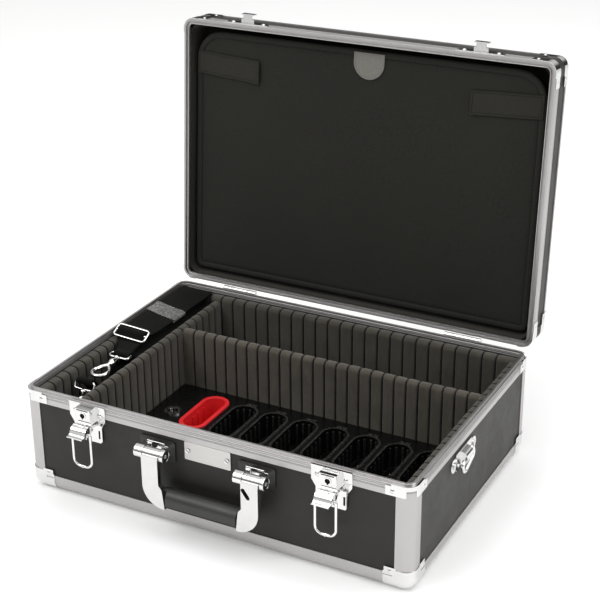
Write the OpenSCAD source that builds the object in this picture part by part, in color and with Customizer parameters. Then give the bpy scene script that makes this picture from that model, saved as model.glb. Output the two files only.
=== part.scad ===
// Aluminium-framed equipment case with a hinged lid, keyed draw latches,
// swing handle, slotted foam lining and a fitted charging tray.
// Origin: centre of the underside. X = width, Y = depth (front is -Y), Z = up.
// Lengths in millimetres.

/* [Case] */

// Outer width of the case over the aluminium edges
case_w = 460; // [440:2:480]

// Outer depth of the case, front to back
case_d = 325; // [315:1:335]

// Height of the base from the floor to the top of its rim
base_h = 122; // [118:1:128]

// Height of the lid from the parting line to its top
lid_h = 51; // [48:1:56]

// Angle the lid stands open
lid_angle = 94.6; // [0:0.1:94.6]

// Thickness of the laminated panels
panel_t = 4; // [3:0.5:4]

/* [Aluminium edges] */

// Width of the edge profiles on each face
leg_w = 19; // [16:1:20]

// Outer corner rounding of the profiles
edge_r = 12; // [9:1:12]

// Width of the profile round the top of the lid
lid_leg = 13.6; // [12.6:0.2:18]

// Visible height of the base rim profile
base_rim_leg = 13; // [11:0.5:14]

// Visible height of the lid rim profile
lid_rim_leg = 15; // [14.6:0.2:17.4]

/* [Latches] */

// Distance of each latch from the middle of the pair
latch_x = 144.8; // [140:0.4:152]

// Opening of the latch lever from its locked position
lever_angle = 57; // [0:1:57]

// Wire thickness of the latch bails
bail_wire = 3; // [2.4:0.1:3]

/* [Handle] */

// Distance of each handle bracket from the middle of the handle
bracket_x = 59; // [56:1:62]

// Height of the grip, round above and flat below
grip_d = 16.5; // [16:0.5:18]

// Height of the handle hinge above the floor
handle_z = 94; // [93:0.5:96]

/* [Interior] */

// Thickness of the foam lining on the walls
liner_t = 12.4; // [11:0.2:13]

// Number of foam ribs across the width
ribs_x = 26; // [20:1:28]

// Number of foam ribs along the depth
ribs_y = 20; // [16:1:22]

// Thickness of the removable dividers
divider_t = 12; // [11:0.5:13]

// Height of the divider tops above the floor
divider_top = 113; // [108:1:114]

// Spacing of the tray pockets
pocket_pitch = 39; // [38:0.5:39.5]

// Height of the tray surface above the floor
tray_top = 42; // [40:1:46]

/* [Hidden] */
$fn = 48;
W = case_w/2;
D = case_d/2;
skin = 1;                        // sheet thickness of the edge profiles
z0 = 0.8;                        // underside of the bottom profiles
in1 = skin + panel_t;            // inner face of the panels, from outside
rim_gap = 0.6;                   // parting gap between base and lid
lid_z = base_h + rim_gap;        // lower face of the closed lid rim
lid_top = lid_z + lid_h;         // top of the closed lid
hinge_y = D + 4;
hinge_z = base_h + rim_gap/2;
floor_z = z0 + in1;              // upper face of the bottom panel
lin_o = in1 + 0.2;               // outer face of the lining, from outside
lin_i = lin_o + liner_t;         // inner face of the lining, from outside
lin_bot = floor_z + 3.4;
lin_top = base_h - 5.4;
comp_x = W - lin_i;              // half width inside the lining
comp_y = D - lin_i;              // half depth inside the lining
long_x = -163.2 - divider_t/2;   // middle of the front-to-back divider
cross_y = 54.5 + divider_t/2;    // middle of the cross divider
rib_px = 2*comp_x/ribs_x;
rib_py = 2*comp_y/ribs_y;
slot_w = 2.6;
slot_d = 4.2;
latch_hy = -D - 8;               // lever hinge
latch_hz = 98.5;
bail_r = 7.6;                    // bail pivot distance from the lever hinge
bail_len = 40.5;
bail_hw = 11.5;
hook_top = 129;
latch_cx = -2.2;                 // middle of the two latches
handle_cx = 3;                   // middle of the handle
handle_y = -D - 15;
grip_y = -D - 14;
grip_t = 20;                     // front to back thickness of the grip
grip_z = handle_z - 48;          // middle of the rounded top of the grip
ring_x = W + 4.6;
ring_y = -34.5;
ring_z = 94;
ring_tilt = 22;                  // the ring hangs askew in its saddle
tray_x0 = long_x + divider_t/2 + 0.4;
tray_x1 = comp_x - 0.4;
tray_y0 = -comp_y + 0.4;
tray_y1 = cross_y - divider_t/2 - 0.4;
pocket_x0 = -102;
pocket_y = -1.5;
pocket_l = 76;
pocket_w = 29;
panel_z = lid_z + 12.6;          // visible face of the lid organiser (closed)

col_alu = [0.78,0.77,0.77];
col_chrome = [0.9,0.9,0.92];
col_black = [0.16,0.16,0.15];
col_foam = [0.27,0.26,0.23];
col_plastic = [0.08,0.08,0.08];
col_red = [0.85,0.18,0.2];
col_cloth = [0.14,0.14,0.13];

// ---------- helpers ----------
module quad() { for (sx = [0,1], sy = [0,1]) mirror([sx,0,0]) mirror([0,sy,0]) children(); }
module pair() { for (s = [0,1]) mirror([s,0,0]) children(); }
module rrect(w, d, r) {
  square([w - 2*r, d], center = true);
  square([w, d - 2*r], center = true);
  for (sx = [-1,1], sy = [-1,1]) translate([sx*(w/2 - r), sy*(d/2 - r)]) circle(r = r);
}
// ring following the case outline between two insets
module ring(z1, z2, i1, i2) {
  translate([0,0,z1]) linear_extrude(z2 - z1) difference() {
    rrect(case_w - 2*i1, case_d - 2*i1, max(edge_r - i1, 1));
    rrect(case_w - 2*i2, case_d - 2*i2, max(edge_r - i2, 1));
  }
}
module stadium(w, l) {
  square([w, l - w], center = true);
  for (s = [-1,1]) translate([0, s*(l - w)/2]) circle(d = w);
}
module lid_pose() {
  translate([0, hinge_y, hinge_z]) rotate([-lid_angle,0,0]) translate([0, -hinge_y, -hinge_z]) children();
}
module xcyl(r, x1, x2) { translate([x1,0,0]) rotate([0,90,0]) cylinder(r = r, h = x2 - x1); }
module ycyl(r, y1, y2) { translate([0,y1,0]) rotate([-90,0,0]) cylinder(r = r, h = y2 - y1); }
// plate in the X-Z plane between two y values
module xz(y1, y2) { translate([0,y2,0]) rotate([90,0,0]) linear_extrude(y2 - y1) children(); }
// plate in the Y-Z plane between two x values
module yz(x1, x2) { translate([x1,0,0]) rotate([90,0,90]) linear_extrude(x2 - x1) children(); }
// section of the rounded edge profile, corner at the origin
module edge_section(l = leg_w) {
  difference() {
    union() {
      intersection() { square(edge_r); translate([edge_r, edge_r]) circle(r = edge_r); }
      translate([edge_r - 0.01, 0]) square([l - edge_r + 0.01, skin]);
      translate([0, edge_r - 0.01]) square([skin, l - edge_r + 0.01]);
    }
    translate([in1, in1]) square(edge_r);
  }
}
// rounded block reaching from the corner at the origin
module corner_block(r, a, b, c) {
  translate([r,r,r]) sphere(r = r);
  translate([r,r,r]) cylinder(r = r, h = c - r);
  translate([r,r,r]) rotate([0,90,0]) cylinder(r = r, h = a - r);
  translate([r,r,r]) rotate([-90,0,0]) cylinder(r = r, h = b - r);
  translate([r,r,0]) cube([a - r, b - r, c]);
  translate([0,r,r]) cube([a, b - r, c - r]);
  translate([r,0,r]) cube([a - r, b, c - r]);
}
module rivet(r, h) { translate([0,0,h - r*1.25]) intersection() { sphere(r = r*1.25); translate([0,0,r*1.25 - h]) cylinder(r = r, h = h); } }
// slots cut in a foam face along X, for ribs of the given pitch
module slots_x(n, p, x0, y1, y2, z1, z2) {
  for (i = [1 : n - 1]) translate([x0 + i*p - slot_w/2, y1, z1]) cube([slot_w, y2 - y1, z2 - z1]);
}
module slots_y(n, p, y0, x1, x2, z1, z2) {
  for (i = [1 : n - 1]) translate([x1, y0 + i*p - slot_w/2, z1]) cube([x2 - x1, slot_w, z2 - z1]);
}

// ---------- base shell ----------
module wall_panel_x(s) { // front (s=-1) or back (s=1)
  y = s < 0 ? -D + skin : D - in1;
  translate([-(W - edge_r), y, z0 + edge_r]) cube([2*(W - edge_r), panel_t, base_h - 5 - z0 - edge_r]);
}
module wall_panel_y(s) {
  x = s < 0 ? -W + skin : W - in1;
  translate([x, -(D - edge_r), z0 + edge_r]) cube([panel_t, 2*(D - edge_r), base_h - 5 - z0 - edge_r]);
}
module base_front_panel() { color(col_black) wall_panel_x(-1); }
module base_back_panel() { color(col_black) wall_panel_x(1); }
module base_left_panel() { color(col_black) wall_panel_y(-1); }
module base_right_panel() { color(col_black) wall_panel_y(1); }
module base_bottom_panel() {
  color(col_black) {
    translate([-(W - edge_r), -(D - edge_r), z0 + skin]) cube([2*(W - edge_r), 2*(D - edge_r), panel_t]);
    // wear sheet between the edge profiles, level with the feet of the caps
    translate([-(W - 32), -(D - 20), 0]) cube([2*(W - 32), 2*(D - 20), z0 + skin + 1]);
  }
}
module post_section() {
  difference() {
    union() {
      intersection() { square(edge_r); translate([edge_r, edge_r]) circle(r = edge_r); }
      translate([edge_r - 0.01, 0]) square([leg_w - edge_r + 0.01, skin]);
      translate([0, edge_r - 0.01]) square([skin, leg_w - edge_r + 0.01]);
    }
    translate([in1, in1]) square(edge_r);
  }
}
module base_corner_posts() {
  color(col_alu) quad() translate([-W, -D, z0 + 16])
    linear_extrude(base_h - base_rim_leg - 0.1 - z0 - 16) post_section();
}
module base_bottom_edges() {
  color(col_alu) {
    for (s = [0,1]) mirror([0,s,0]) yz(-(W - 22), W - 22) translate([-D, z0]) edge_section();
    for (s = [0,1]) mirror([s,0,0]) xz(-(D - 22), D - 22) translate([-W, z0]) edge_section();
  }
}
module base_rim_frame() {
  color(col_alu) difference() {
    union() {
      ring(base_h - base_rim_leg, base_h, 0, skin);
      ring(base_h - 5, base_h, 0.5, 6);
      ring(base_h - 0.1, base_h + 2.4, 2.6, 5.2);
    }
    ring(base_h - 2.6, base_h - 1.6, -1, 0.5);
    ring(base_h - 4.6, base_h - 4.0, -1, 0.4);
  }
}
module bottom_cap_one() {
  difference() {
    union() {
      translate([-0.8,-0.8,-0.8]) intersection() {
        corner_block(edge_r + 0.8, 32, 32, 30);
        union() {
          cube([60, 60, 21.8]);
          cube([19.8, 19.8, 24.5]);
        }
      }
      // riveting lugs standing above the arms
      translate([17, -0.8, 15]) cube([13, 1.8, 11]);
      translate([-0.8, 17, 15]) cube([1.8, 13, 11]);
    }
    corner_block(edge_r, 60, 60, 60);
    // pressed slits beside the lugs
    translate([21, -2, 16.2]) cube([12, 3, 1.2]);
    translate([-2, 21, 16.2]) cube([3, 12, 1.2]);
  }
}
module base_bottom_corner_caps() { color(col_chrome) quad() translate([-W, -D, z0]) bottom_cap_one(); }
module base_top_corner_caps() {
  color(col_chrome) quad() difference() {
    union() {
      intersection() {
        ring(base_h - 12.6, base_h + 0.25, -0.8, 2.4);
        union() {
          translate([-W - 5, -D - 5, base_h - 4.6]) cube([29, 29, 9]);
          // riveting lugs below the band
          translate([-W + 8, -D - 5, base_h - 12.4]) cube([22, 8, 10.4]);
          translate([-W - 5, -D + 8, base_h - 12.4]) cube([8, 22, 10.4]);
        }
      }
    }
    ring(base_h - 20, base_h, 0, 12);
  }
}
module base_cap_rivets() {
  color(col_chrome) quad() {
    translate([-W + 24, -D - 0.8, z0 + 21.6]) rotate([90,0,0]) rivet(2.6, 1);
    translate([-W - 0.8, -D + 24, z0 + 21.6]) rotate([0,-90,0]) rivet(2.6, 1);
    translate([-W + 22.5, -D - 0.8, base_h - 7.6]) rotate([90,0,0]) rivet(3, 1);
    translate([-W - 0.8, -D + 22.5, base_h - 7.6]) rotate([0,-90,0]) rivet(3, 1);
  }
}

// ---------- latches ----------
module latch_plate() { // around x = 0
  difference() {
    union() {
      xz(-D - 1.2, -D) difference() {
        polygon([[-22.5,base_h + 1],[22.5,base_h + 1],[22.5,106],[17.5,98],[17.5,81.5],[15,79],[-15,79],[-17.5,81.5],[-17.5,98],[-22.5,106]]);
        for (s = [-1,1]) translate([s*14 - 1.1, 84]) square([2.2, 10]);
      }
      // folded top edge
      translate([-22.5, -D - 2.2, base_h - 0.6]) cube([45, 1.4, 1.6]);
      // lock housing
      translate([-9.5, -D - 10, 103.2]) cube([19, 9, base_h - 1.4 - 103.2]);
      // ears for the lever hinge
      for (s = [0,1]) mirror([s,0,0]) yz(5.5, 7) {
        translate([latch_hy, latch_hz]) circle(r = 2.6);
        translate([latch_hy, latch_hz - 2.6]) square([-D - 1 - latch_hy, 5.2]);
      }
    }
    translate([0, 0, 113]) ycyl(4.25, -D - 11, -D - 3);
    // relieved where the lid rim comes down behind it
    translate([-30, -D - 0.06, base_h + 0.02]) cube([60, 3, 5]);
    // open slot along the top of the housing
    translate([-7.2, -D - 11, base_h - 3.4]) cube([14.4, 8, 1.3]);
    for (s = [0,1]) mirror([s,0,0]) translate([0, latch_hy, latch_hz]) xcyl(1.28, 4, 12);
  }
}
module latch_plate_left() { color(col_chrome) translate([latch_cx - latch_x,0,0]) latch_plate(); }
module latch_plate_right() { color(col_chrome) translate([latch_cx + latch_x,0,0]) latch_plate(); }
module latch_hinge_pins() {
  color(col_chrome) for (x = [latch_cx - latch_x, latch_cx + latch_x]) translate([x, latch_hy, latch_hz]) xcyl(1.25, -9.9, 9.9);
}
module latch_rivets() {
  color(col_chrome) for (x = [latch_cx - latch_x, latch_cx + latch_x], s = [-1,1])
    translate([x + s*15.5, -D - 1.2, 112.5]) rotate([90,0,0]) rivet(3, 1.3);
}
module lock_cylinder() {
  difference() {
    translate([0,0,113]) ycyl(4.2, -D - 10.4, -D - 3.2);
    translate([0,0,113]) difference() { ycyl(2.9, -D - 11, -D - 5.4); ycyl(0.8, -D - 9.6, -D - 5); }
    translate([-0.8, -D - 11, 113 - 4.6]) cube([1.6, 5.6, 3]);
  }
}
module lock_cylinder_left() { color(col_chrome) translate([latch_cx - latch_x,0,0]) lock_cylinder(); }
module lock_cylinder_right() { color(col_chrome) translate([latch_cx + latch_x,0,0]) lock_cylinder(); }
// lever drawn closed: u outwards, v downwards from the hinge
module lever_cover() {
  polygon([[-4.3,-0.6],[-5.4,-0.4],[-6.9,-1.6],[-8.1,-4.2],[-8.3,-7.0],[-7.4,-10.0],[-5.9,-12.6],[-5.2,-14.4],[-5.5,-16.0],[-7.2,-18.2],
           [-6.3,-18.9],[-4.3,-16.6],[-3.9,-14.2],[-4.7,-12.0],[-6.1,-9.8],[-6.9,-6.9],[-6.8,-4.6],[-5.9,-2.5],[-4.9,-1.5]]);
}
module lever_one() {
  translate([0, latch_hy, latch_hz]) rotate([-lever_angle,0,0]) difference() {
    union() {
      yz(-9.6, 9.6) lever_cover();
      for (s = [0,1]) mirror([s,0,0]) yz(8.2, 9.6) union() {
        circle(r = 2.6);
        translate([0, -bail_r]) circle(r = 3.0);
        polygon([[-2.6,0],[-4.4,-0.7],[-5.6,-2.0],[-6.6,-4.4],[-6.7,-7.0],[-5.9,-10.0],[-4.6,-12.2],[-4.0,-14.2],[-2.8,-14.2],[0,-10.5],[2.9,-7.6],[2.6,0]]);
      }
    }
    xcyl(1.31, -12, 12);
    translate([0, 0, -bail_r]) xcyl(bail_wire/2 + 0.05, -12, 12);
  }
}
module latch_lever_left() { color(col_chrome) translate([latch_cx - latch_x,0,0]) lever_one(); }
module latch_lever_right() { color(col_chrome) translate([latch_cx + latch_x,0,0]) lever_one(); }
// quarter bend of wire in the X-Z plane, from the +X side up to the +Z side
module bend(r, w) { rotate([90,0,0]) rotate_extrude(angle = 90) translate([r,0]) circle(r = w); }
module bail_one() {
  r = 8.5; t = 1.8; w = bail_wire/2;
  translate([0, latch_hy - bail_r*sin(lever_angle), latch_hz - bail_r*cos(lever_angle)]) {
    for (s = [0,1]) mirror([s,0,0]) {
      xcyl(w, 7.6, bail_hw - t);
      translate([bail_hw - t, 0, -t]) bend(t, w);
      translate([bail_hw, 0, -(bail_len - r)]) cylinder(r = w, h = bail_len - r - t);
      translate([bail_hw - r, 0, -(bail_len - r)]) rotate([0,90,0]) bend(r, w);
    }
    translate([0,0,-bail_len]) xcyl(w, -(bail_hw - r), bail_hw - r);
    translate([-0.9,0,-bail_len]) xcyl(w + 0.6, 0, 1.8);
  }
}
module latch_bail_left() { color(col_chrome) translate([latch_cx - latch_x,0,0]) bail_one(); }
module latch_bail_right() { color(col_chrome) translate([latch_cx + latch_x,0,0]) bail_one(); }

// ---------- handle ----------
module handle_backing_plates() {
  color(col_plastic) translate([handle_cx,0,0]) for (x = [-bracket_x, bracket_x]) translate([x,0,0]) {
    difference() {
      xz(-D - 0.9, -D + skin) translate([-3.8, 91.8]) rrect(42.5, 24, 3);
      for (i = [0:13]) translate([-22.6 + i*2.8, -D - 2, 101.4]) cube([1.2, 1.6, 1.5]);
    }
    // bush in the open end of the outer lug
    difference() {
      translate([0, handle_y, handle_z]) xcyl(6.2, 12.4, 14.6);
      translate([0, handle_y, handle_z]) xcyl(2.56, 10, 20);
    }
  }
}
module handle_brackets() {
  color(col_chrome) translate([handle_cx,0,0]) for (x = [-bracket_x, bracket_x]) translate([x,0,0]) difference() {
    union() {
      xz(-D - 2.1, -D - 0.9) { translate([-16, handle_z - 6]) square([21.6, 12]); translate([-20.4, handle_z - 7]) square([35.4, 10.6]); }
      for (k = [[-20.4,-10.2],[10.2,15]]) {
        translate([0, handle_y, handle_z]) xcyl(7.3, k[0], k[1]);
        translate([k[0], handle_y, handle_z - 7]) cube([k[1] - k[0], -D - 1.5 - handle_y, 10.6]);
      }
    }
    translate([0, handle_y, handle_z]) xcyl(2.55, -18.4, 30);
    translate([0, handle_y, handle_z]) xcyl(6.25, 12.3, 20);
  }
}
module handle_pins() {
  color(col_chrome) translate([handle_cx,0,0]) for (x = [-bracket_x, bracket_x]) translate([x, handle_y, handle_z]) {
    xcyl(2.5, -18.2, 15.4);
    xcyl(1.9, 15.4, 17);
  }
}
module handle_arms() {
  color(col_chrome) translate([handle_cx,0,0]) for (s = [0,1]) mirror([s,0,0]) difference() {
    union() {
      translate([bracket_x, handle_y, handle_z]) xcyl(6.5, -9.8, 9.8);
      // flat arm, 5.5 mm thick, widening inwards below in front of the end of the grip
      xz(-D - 24, -D - 18.5) translate([bracket_x, handle_z]) {
        translate([-9.8, -34.5]) square([19.6, 35.6]);
        intersection() {
          translate([-15.1, -34]) circle(r = 24.9, $fn = 96);
          polygon([[-16.4,-60],[9.8,-60],[9.8,-34],[-9.8,-31.4],[-13.2,-35.4],[-13.8,-37.6]]);
        }
      }
      // ferrule behind the arm, on the end of the grip
      translate([0, grip_y, grip_z]) xcyl(8.8, bracket_x - 12.2, bracket_x - 2);
    }
    translate([bracket_x, handle_y, handle_z]) xcyl(2.56, -12, 12);
    // elongated slot near the hinge, in the right arm only
    if (s == 0) translate([bracket_x - 4.4, 0, handle_z - 12.4]) rotate([0,-35,0]) xz(-D - 30, -D - 17) stadium(4.8, 14);
    // seat of the grip
    translate([0, grip_y, grip_z]) xcyl(5.66, 0, bracket_x - 6);
  }
}
module handle_grip() {
  e = bracket_x - 12.5; // half length
  n = bracket_x - 17;   // half length in front, where the arms reach over it
  color(col_plastic) translate([handle_cx, 0, 0]) {
    difference() {
      translate([-e, grip_y, grip_z]) rotate([90,0,90]) linear_extrude(2*e) difference() {
        union() { circle(r = grip_t/2, $fn = 96); translate([-grip_t/2, -grip_t]) square([grip_t, grip_t]); }
        translate([-grip_t, -3*grip_t + grip_t/2 - grip_d]) square([2*grip_t, 3*grip_t]);
      }
      for (s = [-1,1]) translate([s*(n + 10), -D - 18 - 10, grip_z]) cube([20, 20, 40], center = true);
    }
    translate([0, grip_y, grip_z]) xcyl(5.6, -e - 5.6, e + 5.6);
  }
}

// ---------- name plate, side saddles and rings ----------
module name_plate() {
  color(col_alu) difference() {
    xz(-D + skin - 1.1, -D + skin) translate([0, 98.2]) rrect(54.6, 21, 1);
    for (s = [-1,1]) translate([s*23.2, 0, 98.2]) ycyl(1.6, -D - 1, -D + 2);
  }
}
module name_plate_screws() {
  color(col_chrome) for (s = [-1,1]) translate([s*23.2, 0, 98.2]) difference() {
    union() { ycyl(1.5, -D - 0.1, -D + skin); ycyl(2.7, -D - 1.1, -D - 0.1); }
    rotate([0,35,0]) translate([-3, -D - 1.3, -0.5]) cube([6, 0.9, 1]);
  }
}
module saddle_one() { // on the +X side
  difference() {
    union() {
      yz(W - skin, W + 0.6) translate([ring_y, ring_z]) union() {
        square([42, 20], center = true);
        for (s = [-1,1]) { translate([s*26, 0]) circle(r = 8); translate([s*22, 0]) square([12, 15], center = true); }
      }
      // domed strap over the ring
      intersection() {
        translate([W + 0.2, ring_y, ring_z]) ycyl(8, -8.6, 8.6);
        translate([W, ring_y - 10, ring_z - 10]) cube([20, 20, 20]);
      }
    }
    translate([ring_x, ring_y, ring_z]) rotate([ring_tilt,0,0]) ycyl(2.06, -20, 20);
    for (s = [-1,1]) translate([0, ring_y + s*27, ring_z]) xcyl(1.7, W - 3, W + 3);
  }
}
module ring_saddle_right() { color(col_chrome) saddle_one(); }
module ring_saddle_left() { color(col_chrome) mirror([1,0,0]) saddle_one(); }
module ring_saddle_screws() {
  color(col_chrome) pair() for (s = [-1,1]) translate([0, ring_y + s*27, ring_z]) difference() {
    union() { xcyl(1.6, W - skin, W + 0.6); xcyl(3.2, W + 0.6, W + 1.8); }
    translate([W + 1.2, -4, -0.4]) cube([1, 8, 0.8]);
  }
}
module ring_one() {
  hw = 14.6; r = 6; l = 13; w = 2; t = 2.8;
  translate([ring_x, ring_y, ring_z]) rotate([ring_tilt,0,0]) rotate([0,0,90]) {
    xcyl(w, -(hw - t), hw - t);
    for (s = [0,1]) mirror([s,0,0]) {
      translate([hw - t, 0, -t]) bend(t, w);
      translate([hw, 0, -(l - r)]) cylinder(r = w, h = l - r - t);
      translate([hw - r, 0, -(l - r)]) rotate([0,90,0]) bend(r, w);
    }
    translate([0,0,-l]) xcyl(w, -(hw - r), hw - r);
  }
}
module strap_ring_right() { color(col_chrome) ring_one(); }
module strap_ring_left() { color(col_chrome) mirror([1,0,0]) ring_one(); }

// ---------- hinges ----------
module knuckle(x1, x2) { translate([0, hinge_y, hinge_z]) difference() { xcyl(3.2, x1, x2); xcyl(1.56, x1 - 1, x2 + 1); } }
module hinge_base_leaves() {
  color(col_chrome) pair() translate([148,0,0]) {
    difference() {
      union() {
        translate([-22.5, D, base_h - 24]) cube([45, 1.2, 22]);
        translate([-11, D, base_h - 2.9]) cube([22, 4, 1.5]);
        translate([0, hinge_y, hinge_z]) xcyl(3.2, -11, 11);
      }
      translate([0, hinge_y, hinge_z]) xcyl(1.56, -30, 30);
    }
  }
}
module hinge_lid_leaves() {
  color(col_chrome) lid_pose() pair() translate([148,0,0]) for (k = [[-22.5,-11.3],[11.3,22.5]]) difference() {
    union() {
      translate([k[0], D, lid_z + 1.4]) cube([k[1] - k[0], 1.2, 14]);
      translate([k[0], D, lid_z + 1.4]) cube([k[1] - k[0], 4, 1.4]);
      translate([0, hinge_y, hinge_z]) xcyl(3.2, k[0], k[1]);
    }
    translate([0, hinge_y, hinge_z]) xcyl(1.56, -30, 30);
  }
}
module hinge_pins() { color(col_chrome) pair() translate([148, hinge_y, hinge_z]) xcyl(1.5, -22.5, 22.5); }

// ---------- interior ----------
module liner_x(s) { // front or back lining, ribs face inwards
  color(col_foam) mirror([0, s < 0 ? 0 : 1, 0]) difference() {
    translate([-(W - lin_o), -(D - lin_o), lin_bot]) cube([2*(W - lin_o), liner_t, lin_top - lin_bot]);
    slots_x(ribs_x, rib_px, -comp_x, -comp_y - slot_d, -comp_y + 1, lin_bot - 1, lin_top + 1);
  }
}
module liner_y(s) {
  color(col_foam) mirror([s < 0 ? 0 : 1, 0, 0]) difference() {
    translate([-(W - lin_o), -comp_y + 0.1, lin_bot]) cube([liner_t, 2*comp_y - 0.2, lin_top - lin_bot]);
    slots_y(ribs_y, rib_py, -comp_y, -comp_x - slot_d, -comp_x + 1, lin_bot - 1, lin_top + 1);
  }
}
module liner_front() { liner_x(-1); }
module liner_back() { liner_x(1); }
module liner_left() { liner_y(-1); }
module liner_right() { liner_y(1); }
module floor_mat() {
  color(col_foam) translate([-(W - in1 - 0.3), -(D - in1 - 0.3), floor_z + 0.1]) cube([2*(W - in1 - 0.3), 2*(D - in1 - 0.3), 3.2]);
}
module divider_long() {
  color(col_foam) difference() {
    translate([long_x - divider_t/2, -comp_y + 0.2, lin_bot]) cube([divider_t, 2*comp_y - 0.4, divider_top - lin_bot]);
    slots_y(ribs_y, rib_py, -comp_y, long_x + divider_t/2 - slot_d, long_x + divider_t/2 + 1, lin_bot - 1, divider_top + 1);
    slots_y(ribs_y, rib_py, -comp_y, long_x - divider_t/2 - 1, long_x - divider_t/2 + slot_d, lin_bot - 1, divider_top + 1);
    slots_y(ribs_y, rib_py, -comp_y, long_x - divider_t, long_x + divider_t, divider_top - 3, divider_top + 1);
  }
}
module divider_cross() {
  x1 = long_x + divider_t/2 + 0.2; x2 = comp_x - 0.2;
  color(col_foam) difference() {
    translate([x1, cross_y - divider_t/2, lin_bot]) cube([x2 - x1, divider_t, divider_top - lin_bot]);
    for (i = [1 : 25]) translate([x1 + i*(x2 - x1)/26 - slot_w/2, 0, 0]) {
      translate([0, cross_y - divider_t/2 - 1, lin_bot - 1]) cube([slot_w, slot_d + 1, 200]);
      translate([0, cross_y + divider_t/2 - slot_d, lin_bot - 1]) cube([slot_w, slot_d + 1, 200]);
      translate([0, cross_y - divider_t, divider_top - 3]) cube([slot_w, 2*divider_t, 10]);
    }
  }
}
module pocket_hole(i) { translate([pocket_x0 + i*pocket_pitch, pocket_y]) stadium(pocket_w, pocket_l); }
module charging_tray() {
  color(col_plastic) difference() {
    union() {
      // deck and skirts
      difference() {
        translate([tray_x0, tray_y0, lin_bot]) cube([tray_x1 - tray_x0, tray_y1 - tray_y0, tray_top - lin_bot]);
        translate([tray_x0 + 2.5, tray_y0 + 2.5, lin_bot - 1]) cube([tray_x1 - tray_x0 - 5, tray_y1 - tray_y0 - 5, tray_top - 3 - lin_bot + 1]);
      }
      // pocket wells with raised rims
      for (i = [0:7]) translate([0,0,lin_bot + 2]) linear_extrude(tray_top + 1.2 - lin_bot - 2)
        translate([pocket_x0 + i*pocket_pitch, pocket_y]) stadium(pocket_w + 4.4, pocket_l + 4.4);
      // embossed brackets behind each pocket
      for (i = [1:7]) translate([pocket_x0 + i*pocket_pitch, tray_y1 - 12, tray_top - 0.1]) {
        translate([-6, 0, 0]) cube([5, 1.2, 0.7]);
        translate([1, 0, 0]) cube([5, 1.2, 0.7]);
        translate([-6, -4, 0]) cube([1.2, 4.1, 0.7]);
        translate([4.8, -4, 0]) cube([1.2, 4.1, 0.7]);
      }
    }
    // wells, ribbed down their walls
    for (i = [0:7]) translate([0,0,lin_bot + 4]) difference() {
      linear_extrude(100) pocket_hole(i);
      if (i > 0) translate([pocket_x0 + i*pocket_pitch, pocket_y, -1]) {
        for (s = [-1,1], k = [-15,-5,5,15]) translate([s*(pocket_w/2 + 0.4) - 1.6, k - 0.8, 0]) cube([3.2, 1.6, tray_top - lin_bot - 6]);
        for (s = [-1,1], a = [30,60,90,120,150]) translate([0, s*(pocket_l - pocket_w)/2, 0]) rotate([0,0,s*a]) translate([pocket_w/2 - 1.2, -0.8, 0]) cube([3.2, 1.6, tray_top - lin_bot - 6]);
      }
    }
    // groove round each rim
    for (i = [1:7]) translate([pocket_x0 + i*pocket_pitch, pocket_y, tray_top + 0.2]) linear_extrude(3) difference() {
      stadium(pocket_w + 3.5, pocket_l + 3.5);
      stadium(pocket_w + 1.3, pocket_l + 1.3);
    }
    translate([-138, -12, tray_top - 10]) cylinder(r = 8.3, h = 20);
  }
}
module red_pocket_insert() {
  color(col_red) translate([pocket_x0, pocket_y, 0]) {
    translate([0,0,lin_bot + 4.2]) linear_extrude(tray_top + 1.3 - lin_bot - 4.2) difference() {
      stadium(pocket_w - 0.4, pocket_l - 0.4); stadium(pocket_w - 4.4, pocket_l - 4.4);
    }
    translate([0,0,lin_bot + 4.2]) linear_extrude(2) stadium(pocket_w - 0.4, pocket_l - 0.4);
    translate([0,0,tray_top + 1.25]) linear_extrude(2.2) difference() {
      stadium(pocket_w + 5.2, pocket_l + 5.2); stadium(pocket_w - 4.4, pocket_l - 4.4);
    }
    for (s = [-1,1], k = [-18,-6,6,18]) translate([s*(pocket_w/2 - 2.6) - 0.9, k - 1, lin_bot + 5]) cube([1.8, 2, tray_top - lin_bot - 8]);
  }
}
module tray_socket() {
  color(col_chrome) translate([-138, -12, 0]) difference() {
    union() {
      translate([0,0,tray_top - 9.5]) cylinder(r = 8.2, h = 9.5);
      translate([0,0,tray_top]) cylinder(r = 10, h = 1.6);
    }
    translate([0,0,tray_top - 7]) difference() { cylinder(r = 5.6, h = 20); cylinder(r = 1.1, h = 6); }
  }
}
module contact_pins() {
  color([0.85,0.7,0.3]) for (i = [0:7], s = [-1,1]) translate([pocket_x0 + i*pocket_pitch + s*5, pocket_y + 14, lin_bot + (i == 0 ? 6.2 : 4)]) {
    cylinder(r = 1.3, h = 2.4);
    translate([0,0,2.4]) sphere(r = 1.3);
  }
}

// ---------- stowed shoulder strap ----------
strap_cx = -(comp_x + (-long_x) + divider_t/2)/2; // middle of the narrow compartment
module shoulder_strap() {
  color(col_cloth) {
    yz(strap_cx - 17.2, strap_cx + 17.2)
      polygon([[comp_y - 2, lin_bot + 0.3],[comp_y - 2, 118],[14, 118],[14, 116.5],[-8, 116.5],[-20, 108],[-26, 84],[-96, 76],[-104, 40],[-comp_y + 6, 30],[-comp_y + 6, lin_bot + 0.3]]);
    // top run, tilted, with its outer edge resting over the side lining
    translate([strap_cx - 5.5, 13, base_h - 1.5]) rotate([0, 10, 0]) translate([-19, 0, -0.9]) cube([38, comp_y - 5.5, 1.8]);
  }
}
module strap_slide_buckle() { // rectangular slide on the webbing
  color(col_chrome) translate([strap_cx - 6, 1.5, 122.9]) rotate([27,0,0]) difference() {
    linear_extrude(2.6) rrect(44, 19, 4);
    translate([0,0,-1]) linear_extrude(5) translate([0, 3.9]) rrect(38, 4.4, 1.5);
    translate([0,0,-1]) linear_extrude(5) translate([0,-3.9]) rrect(38, 4.4, 1.5);
  }
}
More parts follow.
